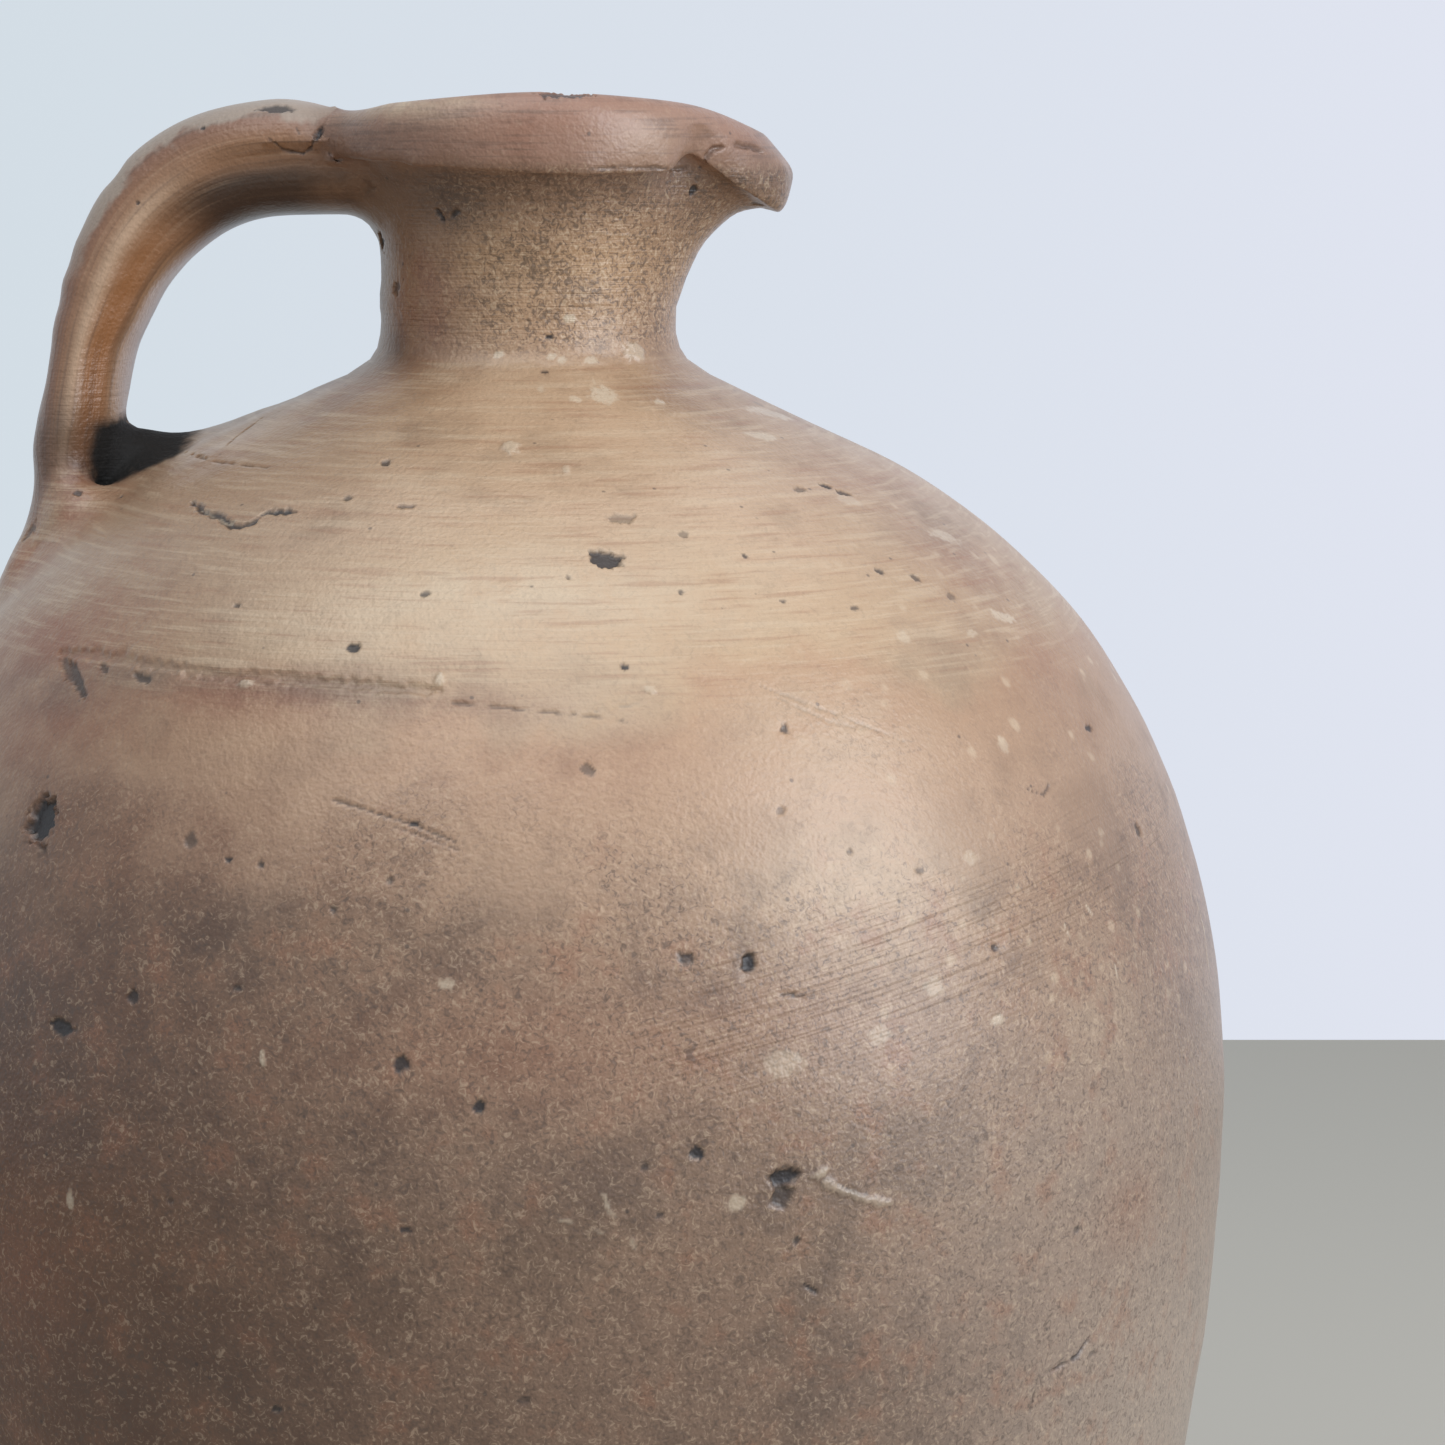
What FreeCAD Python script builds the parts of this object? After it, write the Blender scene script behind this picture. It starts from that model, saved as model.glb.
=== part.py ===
# Coarse stoneware oil jug, thrown on the wheel and fired as one piece: an egg-shaped body, a short
# neck, a mouth whose rolled collar is pulled out and pinched into a pouring beak, and a ridged strap
# handle luted on from the collar to the shoulder. Millimetres, +Z up, origin at the centre of the
# foot, beak towards +X and handle towards -X.
import FreeCAD, Part
import math
import os

V = FreeCAD.Vector

# The thrown body: tangent arcs from the foot to the belly, round the shoulder, then a straight cone.
# The wall was drawn up in pulls, and each pull left a band that is straight in section. A band's edges
# stand proud of its arc, and its middle falls short of it, by half of the band's hollow at the most.
FOOT_RADIUS = 88.0
FOOT_BEVEL = 2.5
FLANK_HEIGHT = 100.0
FLANK_ARC = 448.0
BELLY_HEIGHT = 188.0
BELLY_RADIUS = 140.0
CONE_SLOPE = 25.5
OUTER_BAND_HOLLOW = 1.7
INNER_BAND_HOLLOW = 6.0

# The two arcs above the belly, against the one arc that would reach from the belly to the cone alone
BELLY_ARC_SHARE = 1.12
SHOULDER_ARC_SHARE = 0.8

# The neck
NECK_FOOT_HEIGHT = 332.0
NECK_FOOT_BEVEL = 4.0
NECK_RADIUS = 29.6
NECK_HEIGHT = 10.0

# The thickness of the clay, and the fine step where the mouth's throwing starts on the neck
BODY_WALL = 8.5
FLOOR_THICKNESS = 10.0
BORE_RADIUS = 22.5
TOOL_STEP = 0.3

# The mouth: a funnel under a rolled collar. Rises are above the top of the neck.
FUNNEL_RADIUS = 38.0
COLLAR_RADIUS = 43.4
COLLAR_RISE = 26.6
COLLAR_HANDLE_LIFT = 3.3
CREST_RADIUS = 38.8
CREST_RISE = 41.6
CREST_FALL = 4.2
CREST_PEAK = 0.12
CREST_SOFTNESS = 0.2
LIP_THICKNESS = 6.8
THROAT_RISE = 13.0

# The beak, and the pinch that the fingers left on each side of it. Angles are round the axis.
BEAK_REACH = 9.2
BEAK_DROP = 6.6
BEAK_HALF_ANGLE = 21.0
PINCH_ANGLE = 41.0
PINCH_HALF_ANGLE = 10.0
PINCH_DEPTH = 2.0
PINCH_LIFT = 3.0

# The strap handle: how far out its centre line runs, and how high above the top of the neck
ARCH_REACH = 46.0
ARCH_RISE = 29.9
CREST_BEND_REACH = 65.6
CREST_BEND_DROP = 4.6
BEND_REACH = 77.6
BEND_DROP = 16.4
STRAP_REACH = 90.9
STRAP_DROP = 58.0
STRAP_FOOT_DROP = 81.0
STRAP_FOOT_DEPTH = 4.8
TAIL_DROP = 102.0
TAIL_DEPTH = 9.0

# The strap's section
STRAP_TOP_THICKNESS = 21.6
STRAP_LOW_THICKNESS = 14.0
TAIL_THICKNESS = 19.0
TOP_ROOT_WIDTH = 45.0
STRAP_WIDTH = 34.0
TAIL_WIDTH = 48.0
SECTION_SQUARENESS = 0.8
GROOVE_DEPTH = 1.6
ROOT_COVER = 2.5

# Where the strap changes, as shares of its length from the collar
THINNING_START = 0.17
THINNING_END = 0.67
SPREADING_START = 0.65
THICKENING_START = 0.75
WAIST = 0.35

# Clay pressed into the crook between the strap and the shoulder
CROOK_REACH = 69.0
CROOK_RISE = 2.0
CROOK_WIDTH = 22.0

# How finely the freehand forms are drawn
MOUTH_POINTS = 20
MOUTH_CROWDING = 0.4
STRAP_POINTS = 14
STRAP_STATIONS = 9
SEAM_TOLERANCE = 0.0001
LEVEL_TOLERANCE = 0.01

NECK_TOP = NECK_FOOT_HEIGHT + NECK_HEIGHT


def line(start, end):
    return Part.LineSegment(start, end).toShape()


def spline(points):
    curve = Part.BSplineCurve()
    curve.interpolate(Points=points)
    return curve


def banded(centre, radius, start, end, band_hollow):
    """Points along an arc between the directions of two points, one for each band's top."""
    first = math.atan2(start.z - centre.z, start.x - centre.x)
    last = math.atan2(end.z - centre.z, end.x - centre.x)
    count = math.ceil(abs(last - first) / (2 * math.acos(1 - band_hollow / radius)))
    angles = [first + (last - first) * index / count for index in range(count + 1)]
    return [centre + V(math.cos(angle), 0, math.sin(angle)) * radius for angle in angles]


def turned(corners):
    """A solid of revolution from the corners of an outline, closed by the axis."""
    outline = [V(0, 0, corners[0].z)] + corners + [V(0, 0, corners[-1].z)]
    face = Part.Face(Part.makePolygon(outline + outline[:1]))
    return Part.Solid(face.revolve(V(0, 0, 0), V(0, 0, 1), 360))


def bevelled(solid, height, size):
    """The solid with its circular edge at a height cut or filled at 45 degrees."""
    rims = [edge for edge in solid.Edges
            if edge.BoundBox.ZLength < LEVEL_TOLERANCE
            and abs(edge.BoundBox.ZMax - height) < LEVEL_TOLERANCE]
    return solid.makeChamfer(size, rims)


# The body's outline: each arc's centre, and the points where the arcs meet
slope = math.radians(CONE_SLOPE)
rise_to_cone = (NECK_FOOT_HEIGHT - BELLY_HEIGHT) * math.cos(slope)
lone_arc = (rise_to_cone - (BELLY_RADIUS - NECK_RADIUS) * math.sin(slope)) / (1 - math.sin(slope))
belly_arc = BELLY_ARC_SHARE * lone_arc
shoulder_arc = SHOULDER_ARC_SHARE * lone_arc
belly_centre = V(BELLY_RADIUS - belly_arc, 0, BELLY_HEIGHT)
belly = V(BELLY_RADIUS, 0, BELLY_HEIGHT)
flank_centre = V(BELLY_RADIUS - FLANK_ARC, 0, BELLY_HEIGHT)
flank = V(flank_centre.x + math.sqrt(FLANK_ARC ** 2 - (BELLY_HEIGHT - FLANK_HEIGHT) ** 2), 0, FLANK_HEIGHT)
foot = V(FOOT_RADIUS, 0, 0)
neck_foot = V(NECK_RADIUS, 0, NECK_FOOT_HEIGHT)

to_flank_centre = (flank_centre - flank).normalize()
foot_chord = foot - flank
foot_arc = foot_chord.Length ** 2 / (2 * foot_chord.dot(to_flank_centre))
foot_centre = flank + to_flank_centre * foot_arc

down_cone = V(math.cos(slope), 0, -math.sin(slope))
into_cone = V(-math.sin(slope), 0, -math.cos(slope))
shoulder_start = neck_foot + into_cone * shoulder_arc - belly_centre
along = shoulder_start.dot(down_cone)
short_of = shoulder_start.dot(shoulder_start) - (belly_arc - shoulder_arc) ** 2
cone_length = -along + math.sqrt(along ** 2 - short_of)
shoulder_centre = neck_foot + into_cone * shoulder_arc + down_cone * cone_length
cone_foot = shoulder_centre - into_cone * shoulder_arc
shoulder = belly_centre + (shoulder_centre - belly_centre).normalize() * belly_arc


def wall_corners(inset, band_hollow):
    """The wall's bands, on its outer side or a distance inside it, from the foot to the neck."""
    proud = band_hollow / 2 - inset
    corners = banded(foot_centre, foot_arc + proud, foot, flank, band_hollow)
    corners += banded(flank_centre, FLANK_ARC + proud, flank, belly, band_hollow)[1:]
    corners += banded(belly_centre, belly_arc + proud, belly, shoulder, band_hollow)[1:]
    corners += banded(shoulder_centre, shoulder_arc + proud, shoulder, cone_foot, band_hollow)[1:]
    bottom = foot + (foot_centre - foot).normalize() * inset
    return [bottom] + corners[1:-1] + [cone_foot + into_cone * inset, neck_foot + into_cone * inset]


def wall_radius(height):
    """The body's outer radius at a height."""
    level = line(V(0, 0, height), V(2 * BELLY_RADIUS, 0, height))
    return Part.makePolygon(wall_corners(0.0, OUTER_BAND_HOLLOW)).distToShape(level)[1][0][0].x


def body_form():
    """The body and the neck before they are hollow."""
    form = turned(wall_corners(0.0, OUTER_BAND_HOLLOW) + [V(NECK_RADIUS, 0, NECK_TOP)])
    form = bevelled(form, 0.0, FOOT_BEVEL)
    return bevelled(form, NECK_FOOT_HEIGHT, NECK_FOOT_BEVEL)


def hollow_form(inset, bore, floor):
    """The space inside a wall of one thickness, above its floor, with the bore through the neck."""
    space = turned(wall_corners(inset, INNER_BAND_HOLLOW))
    above_floor = Part.makeCylinder(BELLY_RADIUS, NECK_TOP, V(0, 0, floor))
    shaft = Part.makeCylinder(bore, NECK_TOP - BELLY_HEIGHT, V(0, 0, BELLY_HEIGHT))
    return space.common(above_floor).fuse(shaft)


vessel = body_form().cut(hollow_form(BODY_WALL, BORE_RADIUS, FLOOR_THICKNESS))


# Freehand forms: closed rings of points, with one smooth skin through them or a straight band
# from each to the next
def hoop(ring):
    """A smooth closed curve through a ring of points."""
    curve = Part.BSplineCurve()
    places = [index / len(ring) for index in range(len(ring) + 1)]
    curve.interpolate(Points=ring, PeriodicFlag=True, Parameters=places)
    return curve


def skin_over(rings):
    hoops = [hoop(ring) for ring in rings]
    travel = [0.0]
    for below, above in zip(rings, rings[1:]):
        step = sum(start.distanceToPoint(end) for start, end in zip(below, above)) / len(below)
        travel.append(travel[-1] + step)
    columns = []
    for poles in zip(*[curve.getPoles() for curve in hoops]):
        column = Part.BSplineCurve()
        column.interpolate(Points=list(poles), Parameters=travel)
        columns.append(column)
    surface = Part.BSplineSurface()
    surface.buildFromPolesMultsKnots([column.getPoles() for column in columns],
                                     hoops[0].getMultiplicities(), columns[0].getMultiplicities(),
                                     hoops[0].getKnots(), columns[0].getKnots(),
                                     True, False, hoops[0].Degree, columns[0].Degree)
    return surface.toShape()


def bands_over(rings):
    return Part.makeLoft([Part.Wire(hoop(ring).toShape()) for ring in rings], False, True)


def closed_solid(faces):
    """A solid from faces that meet edge to edge."""
    shape = Part.Compound(faces)
    shape.sewShape(SEAM_TOLERANCE)
    return Part.Solid(shape.Shells[0])


def end_wires(skin, rings):
    """The skin's two open ends, at its first and its last ring."""
    loops = [edge for edge in skin.Edges if edge.Closed]
    tips = [Part.Vertex(rings[0][0]), Part.Vertex(rings[-1][0])]
    return [Part.Wire(min(loops, key=lambda edge: edge.distToShape(tip)[0])) for tip in tips]


def between(start, end, share):
    """A smooth step from one size to another."""
    share = min(1.0, max(0.0, share))
    return start + (end - start) * share * share * (3 - 2 * share)


# The mouth, one skin that follows the clay up the funnel, over the crest and down the throat
def swell(angle, centre, half_angle):
    """A smooth bump round the rim, 1 at its centre on each side of the beak."""
    away = math.degrees(abs(math.atan2(math.sin(angle), math.cos(angle))))
    return math.exp(-((away - centre) / half_angle) ** 2)


def mouth_ring(radius, rise, beak=0.0, drop=0.0, pinch=0.0, fall=0.0, lift=0.0, flare=0.0):
    """One closed ring of the mouth. The shares say how much of each freehand form it takes."""
    points = []
    for index in range(MOUTH_POINTS):
        turn = 2 * math.pi * index / MOUTH_POINTS
        angle = turn - MOUTH_CROWDING * math.sin(turn)
        fore = math.cos(angle)
        spout = swell(angle, 0.0, BEAK_HALF_ANGLE)
        press = swell(angle, PINCH_ANGLE, PINCH_HALF_ANGLE) * pinch
        reach = (radius + flare * (FUNNEL_RADIUS - NECK_RADIUS) * (fore - 1) / 2
                 + beak * BEAK_REACH * spout - PINCH_DEPTH * press)
        height = (NECK_TOP + rise - drop * BEAK_DROP * spout + PINCH_LIFT * press
                  - fall * CREST_FALL * (math.hypot(fore - CREST_PEAK, CREST_SOFTNESS) - CREST_SOFTNESS)
                  + lift * COLLAR_HANDLE_LIFT * max(0.0, -fore))
        points.append(V(reach * fore, reach * math.sin(angle), height))
    return points


band = CREST_RISE - COLLAR_RISE
spread = FUNNEL_RADIUS - NECK_RADIUS
inner_lip = CREST_RADIUS - LIP_THICKNESS / 2
outer_lip = CREST_RADIUS + LIP_THICKNESS / 2
flow = inner_lip - BORE_RADIUS
mouth_rings = [
    mouth_ring(NECK_RADIUS - TOOL_STEP, 0.0),
    mouth_ring(NECK_RADIUS + 0.2 * spread, 0.4 * COLLAR_RISE, beak=0.3, flare=0.2),
    mouth_ring(NECK_RADIUS + 0.6 * spread, 0.75 * COLLAR_RISE, beak=0.6, drop=0.4, flare=0.5),
    mouth_ring(FUNNEL_RADIUS, 0.96 * COLLAR_RISE, beak=0.8, drop=0.8, pinch=1.0, lift=1.0, flare=0.4),
    mouth_ring(COLLAR_RADIUS - 0.1 * band, COLLAR_RISE, beak=0.9, drop=1.0, pinch=1.0, lift=1.0),
    mouth_ring(COLLAR_RADIUS, COLLAR_RISE + 0.35 * band, beak=1.0, drop=1.0, pinch=0.6, fall=0.3, lift=0.6),
    mouth_ring(outer_lip + 0.1 * band, CREST_RISE - 0.4 * band, beak=0.95, drop=1.0, fall=0.8, lift=0.2),
    mouth_ring(outer_lip - 0.05 * band, CREST_RISE - 0.1 * band, beak=0.85, drop=0.9, fall=1.0),
    mouth_ring(CREST_RADIUS, CREST_RISE, beak=0.8, drop=0.7, fall=1.0),
    mouth_ring(inner_lip, CREST_RISE - 0.15 * band, beak=0.7, drop=0.75, fall=1.0),
    mouth_ring(BORE_RADIUS + 0.6 * flow, CREST_RISE - 0.9 * band, beak=0.5, drop=0.5, fall=0.5),
    mouth_ring(BORE_RADIUS + 0.1 * flow, THROAT_RISE, beak=0.1),
    mouth_ring(BORE_RADIUS + TOOL_STEP, 0.0),
]
mouth_skin = bands_over(mouth_rings)
mouth_seat = Part.makeFace(end_wires(mouth_skin, mouth_rings), "Part::FaceMakerBullseye")
mouth = closed_solid(mouth_skin.Faces + [mouth_seat])

# The strap handle, pulled from the collar over an arch and down on to the shoulder
foot_height = NECK_TOP + ARCH_RISE - STRAP_FOOT_DROP
tail_height = NECK_TOP + ARCH_RISE - TAIL_DROP
centre_line = spline([V(-BORE_RADIUS - ROOT_COVER, 0, NECK_TOP + ARCH_RISE),
                      V(-ARCH_REACH, 0, NECK_TOP + ARCH_RISE),
                      V(-CREST_BEND_REACH, 0, NECK_TOP + ARCH_RISE - CREST_BEND_DROP),
                      V(-BEND_REACH, 0, NECK_TOP + ARCH_RISE - BEND_DROP),
                      V(-STRAP_REACH, 0, NECK_TOP + ARCH_RISE - STRAP_DROP),
                      V(STRAP_FOOT_DEPTH - wall_radius(foot_height), 0, foot_height),
                      V(TAIL_DEPTH - wall_radius(tail_height), 0, tail_height)])


def strap_section(share):
    """The strap's closed section at a share of its length from the collar."""
    place = centre_line.FirstParameter + (centre_line.LastParameter - centre_line.FirstParameter) * share
    along_strap = centre_line.tangent(place)[0]
    outward = V(along_strap.z, 0, -along_strap.x)
    thinned = (share - THINNING_START) / (THINNING_END - THINNING_START)
    thickness = between(STRAP_TOP_THICKNESS, STRAP_LOW_THICKNESS, thinned)
    thickness = between(thickness, TAIL_THICKNESS, (share - THICKENING_START) / (1 - THICKENING_START))
    width = between(TOP_ROOT_WIDTH, STRAP_WIDTH, share / WAIST)
    width = between(width, TAIL_WIDTH, (share - SPREADING_START) / (1 - SPREADING_START))
    points = []
    for index in range(STRAP_POINTS):
        turn = 2 * math.pi * index / STRAP_POINTS
        across = math.copysign(abs(math.cos(turn)) ** SECTION_SQUARENESS, math.cos(turn))
        out = math.copysign(abs(math.sin(turn)) ** SECTION_SQUARENESS, math.sin(turn)) * thickness / 2
        if out > 0:
            out -= GROOVE_DEPTH * math.cos(math.pi / 2 * across) ** 2
        points.append(centre_line.value(place) + V(0, across * width / 2, 0) + outward * out)
    return points


strap_rings = [strap_section(index / STRAP_STATIONS) for index in range(STRAP_STATIONS + 1)]
strap_skin = skin_over(strap_rings)
strap = closed_solid([strap_skin] + [Part.Face(wire) for wire in end_wires(strap_skin, strap_rings)])

# The crook's clay, a wedge from inside the strap to where its top meets the shoulder
crook_base = V(-CROOK_REACH, 0, neck_foot.z - (CROOK_REACH - NECK_RADIUS) * math.tan(slope))
crook_top = crook_base + V(0, 0, CROOK_RISE)
crook_back = V(-STRAP_REACH, 0, crook_top.z)
crook_side = Part.Face(Part.makePolygon([
    crook_back, crook_top, crook_base - V(0, 0, BODY_WALL / 2), V(-STRAP_REACH, 0, foot_height), crook_back]))
crook = crook_side.extrude(V(0, CROOK_WIDTH, 0))
crook.translate(V(0, -CROOK_WIDTH / 2, 0))

# The roots of the handle stop inside the clay, short of the hollow
throat = Part.makeCone(BORE_RADIUS + ROOT_COVER, inner_lip + ROOT_COVER, CREST_RISE - THROAT_RISE,
                       V(0, 0, NECK_TOP + THROAT_RISE))
hollow = hollow_form(BODY_WALL - ROOT_COVER, BORE_RADIUS + ROOT_COVER, FLOOR_THICKNESS - ROOT_COVER)
neck_hollow = Part.makeCylinder(BORE_RADIUS + ROOT_COVER, THROAT_RISE, V(0, 0, NECK_TOP))
handle = strap.fuse(crook).cut(hollow).cut(neck_hollow).cut(throat)

# The jug
jug = vessel.fuse([mouth, handle]).removeSplitter()

os.makedirs("parts", exist_ok=True)
jug.exportStep("parts/jug.step")
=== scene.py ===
# Coarse stoneware oil jug with a narrow neck, a folded pouring beak and a strap handle, thrown and
# pulled by hand and fired as one piece. Metres; the frame's origin is the centre of the foot, with
# the beak towards +X and the handle towards -X.
import math
import bmesh
import bpy
import numpy as np
from mathutils import Matrix, Vector, noise
from mathutils.bvhtree import BVHTree
from mathutils.kdtree import KDTree


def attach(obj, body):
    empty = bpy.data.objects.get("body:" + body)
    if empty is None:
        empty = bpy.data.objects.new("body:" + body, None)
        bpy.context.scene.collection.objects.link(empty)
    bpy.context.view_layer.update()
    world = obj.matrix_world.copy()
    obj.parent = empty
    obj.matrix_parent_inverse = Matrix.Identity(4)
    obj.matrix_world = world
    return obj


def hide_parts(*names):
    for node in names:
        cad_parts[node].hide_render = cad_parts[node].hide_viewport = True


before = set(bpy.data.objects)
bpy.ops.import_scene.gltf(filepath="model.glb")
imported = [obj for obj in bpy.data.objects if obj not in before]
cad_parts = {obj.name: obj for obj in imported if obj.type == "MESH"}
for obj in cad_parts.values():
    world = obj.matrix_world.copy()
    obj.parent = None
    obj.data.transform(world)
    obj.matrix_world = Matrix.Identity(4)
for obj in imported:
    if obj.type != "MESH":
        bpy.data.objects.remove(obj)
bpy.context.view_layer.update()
MM = 0.001


# The thrown wall: one skin of coarse clay, turned on the wheel from the foot up over the belly and
# the shoulder, through the neck and the mouth, and down again inside to the floor. It is made of
# rings, and each ring says how far it follows the beak, the pinches and the collar.
FOOT_RADIUS = 88.0
FOOT_ROUND = 3.5
FLANK_HEIGHT = 100.0
FLANK_ARC = 448.0
BELLY_HEIGHT = 188.0
BELLY_RADIUS = 140.45
CONE_SLOPE = 25.5
BELLY_ARC = 162.0
SHOULDER_ARC = 116.0
NECK_FOOT_HEIGHT = 332.0
NECK_FOOT_ROUND = 6.0
NECK_RADIUS = 29.6
NECK_TOP = 342.0
WALL = 8.5
FLOOR = 10.0
FLOOR_CORNER = (6.0, 1.0)
BORE_RADIUS = 22.5
BORE_FALLS = (8.0, 16.0)
OUTER_STEP = 3.6
NECK_STEP = 1.4
INNER_STEP = 12.0
RING_SEGMENTS = 264
WELD = 0.001

# The rounded foot and the turn into the neck: steps out and up, as shares of their rounds, and the
# rings under the foot, as shares of its radius
FOOT_CURVE = ((-1.0, 0.0), (-0.3, 0.25), (0.15, 0.7))
NECK_CURVE = ((0.35, -0.02), (0.12, 0.35), (0.02, 0.8))
NECK_CURVE_START = 0.6
BASE_RINGS = (0.0, 0.45, 0.8)
FLOOR_RINGS = (0.5, 0.0)

# The mouth: its funnel, the rolled collar over it, the beak and the pinch on each side of the beak
FUNNEL_RADIUS = 38.0
COLLAR_RADIUS = 43.2
COLLAR_RISE = 26.6
CREST_RADIUS = 38.8
CREST_RISE = 41.4
CREST_FALL = 2.9
CREST_PEAK = 0.12
CREST_SOFTNESS = 0.2
COLLAR_HANDLE_LIFT = 3.3
BEAK_REACH = 9.2
BEAK_DROP = 6.6
BEAK_HALF_ANGLE = 21.0
PINCH_ANGLE = 36.0
PINCH_HALF_ANGLE = 8.0
PINCH_DEPTH = 2.4
PINCH_LIFT = 4.2


def along_arc(centre, radius, start, end, step):
    """Points (radius, height) along an arc, start left out."""
    first = math.atan2(start[1] - centre[1], start[0] - centre[0])
    last = math.atan2(end[1] - centre[1], end[0] - centre[0])
    count = max(1, round(abs(last - first) * radius / step))
    turns = [first + (last - first) * k / count for k in range(1, count + 1)]
    return [(centre[0] + radius * math.cos(t), centre[1] + radius * math.sin(t)) for t in turns]


def along_line(start, end, step):
    """Points along a straight stretch, start left out."""
    count = max(1, round(math.dist(start, end) / step))
    return [tuple(a + (b - a) * k / count for a, b in zip(start, end)) for k in range(1, count + 1)]


flank_centre = (BELLY_RADIUS - FLANK_ARC, BELLY_HEIGHT)
flank_width = math.sqrt(FLANK_ARC ** 2 - (BELLY_HEIGHT - FLANK_HEIGHT) ** 2)
flank = (flank_centre[0] + flank_width, FLANK_HEIGHT)
belly = (BELLY_RADIUS, BELLY_HEIGHT)
belly_centre = (BELLY_RADIUS - BELLY_ARC, BELLY_HEIGHT)
neck_foot = (NECK_RADIUS, NECK_FOOT_HEIGHT)
slope = math.radians(CONE_SLOPE)
down_cone = Vector((math.cos(slope), -math.sin(slope)))
into_cone = Vector((-math.sin(slope), -math.cos(slope)))
inward = (Vector(flank_centre) - Vector(flank)).normalized()
chord = Vector((FOOT_RADIUS, 0.0)) - Vector(flank)
foot_arc = chord.length_squared / (2 * chord.dot(inward))
foot_centre = tuple(Vector(flank) + inward * foot_arc)
start = Vector(neck_foot) + into_cone * SHOULDER_ARC - Vector(belly_centre)
cone_length = -start.dot(down_cone) + math.sqrt(
    start.dot(down_cone) ** 2 - start.length_squared + (BELLY_ARC - SHOULDER_ARC) ** 2)
shoulder_centre = Vector(neck_foot) + into_cone * SHOULDER_ARC + down_cone * cone_length
cone_foot = shoulder_centre - into_cone * SHOULDER_ARC
shoulder = Vector(belly_centre) + (shoulder_centre - Vector(belly_centre)).normalized() * BELLY_ARC


def wall_line(inset, step, lowest):
    """The wall from the foot up to the neck, on its outside or a distance within it."""
    foot = (FOOT_RADIUS - inset, 0.0)
    points = [foot] + along_arc(foot_centre, foot_arc - inset, foot, flank, step)
    points += along_arc(flank_centre, FLANK_ARC - inset, flank, belly, step)
    points += along_arc(belly_centre, BELLY_ARC - inset, belly, shoulder, step)
    points += along_arc(shoulder_centre, SHOULDER_ARC - inset, shoulder, cone_foot, step)
    points += along_line(points[-1], tuple(Vector(neck_foot) + into_cone * inset), step)
    return [p for p in points if p[1] > lowest]


base = [(share * FOOT_RADIUS, 0.0) for share in BASE_RINGS]
base += [(FOOT_RADIUS + FOOT_ROUND * out, FOOT_ROUND * up) for out, up in FOOT_CURVE]
outer = [p for p in wall_line(0.0, OUTER_STEP, FOOT_ROUND)
         if p[0] > NECK_RADIUS + NECK_CURVE_START * NECK_FOOT_ROUND]
turn_in = [(NECK_RADIUS + NECK_FOOT_ROUND * out, NECK_FOOT_HEIGHT + NECK_FOOT_ROUND * up)
           for out, up in NECK_CURVE]
neck = along_line(turn_in[-1], (NECK_RADIUS, NECK_TOP), NECK_STEP)
bore = [(BORE_RADIUS, NECK_TOP - fall) for fall in BORE_FALLS]
inner = [p for p in wall_line(WALL, INNER_STEP, FLOOR) if p[0] > BORE_RADIUS][::-1]
inner.append((inner[-1][0] - FLOOR_CORNER[0], FLOOR + FLOOR_CORNER[1]))
inner += [(share * FOOT_RADIUS, FLOOR) for share in FLOOR_RINGS]

# The mouth's rings, from the neck out under the collar, over the crest and down the throat:
# radius, height, and the shares of beak, drop, pinch, fall, lift and flare
band = CREST_RISE - COLLAR_RISE
spread = FUNNEL_RADIUS - NECK_RADIUS
mouth_rings = [
    (NECK_RADIUS, 0.0, 0, 0, 0, 0, 0, 0),
    (NECK_RADIUS + 0.2 * spread, 0.4 * COLLAR_RISE, 0.3, 0, 0, 0, 0, 0.2),
    (NECK_RADIUS + 0.6 * spread, 0.75 * COLLAR_RISE, 0.6, 0.4, 0, 0, 0, 0.5),
    (FUNNEL_RADIUS + 0.2, COLLAR_RISE - 0.3, 0.76, 1.1, 1, 0, 1, 0.4),
    (COLLAR_RADIUS - 3.0, COLLAR_RISE + 0.1, 0.8, 1.2, 1, 0, 1, 0.2),
    (COLLAR_RADIUS - 1.0, COLLAR_RISE - 0.9, 0.84, 1.1, 1, 0, 1, 0.1),
    (COLLAR_RADIUS - 0.2, COLLAR_RISE + 0.06 * band, 0.93, 1, 0.9, 0.1, 0.9, 0),
    (COLLAR_RADIUS + 0.1, COLLAR_RISE + 0.4 * band, 1, 1, 0.6, 0.3, 0.6, 0),
    (CREST_RADIUS + 4.0, CREST_RISE - 0.32 * band, 0.95, 1, 0.2, 0.8, 0.2, 0),
    (CREST_RADIUS + 2.4, CREST_RISE - 0.1 * band, 0.85, 0.9, 0, 1, 0, 0),
    (CREST_RADIUS, CREST_RISE, 0.8, 0.7, 0, 1, 0, 0),
    (CREST_RADIUS - 2.6, CREST_RISE - 0.08 * band, 0.75, 0.72, 0, 1, 0, 0),
    (CREST_RADIUS - 4.2, CREST_RISE - 0.3 * band, 0.7, 0.75, 0, 0.9, 0, 0),
    (BORE_RADIUS + 7.5, CREST_RISE - 0.9 * band, 0.5, 0.5, 0, 0.5, 0, 0),
    (BORE_RADIUS + 1.4, 13.0, 0.1, 0, 0, 0, 0, 0),
    (BORE_RADIUS, 0.0, 0, 0, 0, 0, 0, 0)]
RINGS_BETWEEN = 4


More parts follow.
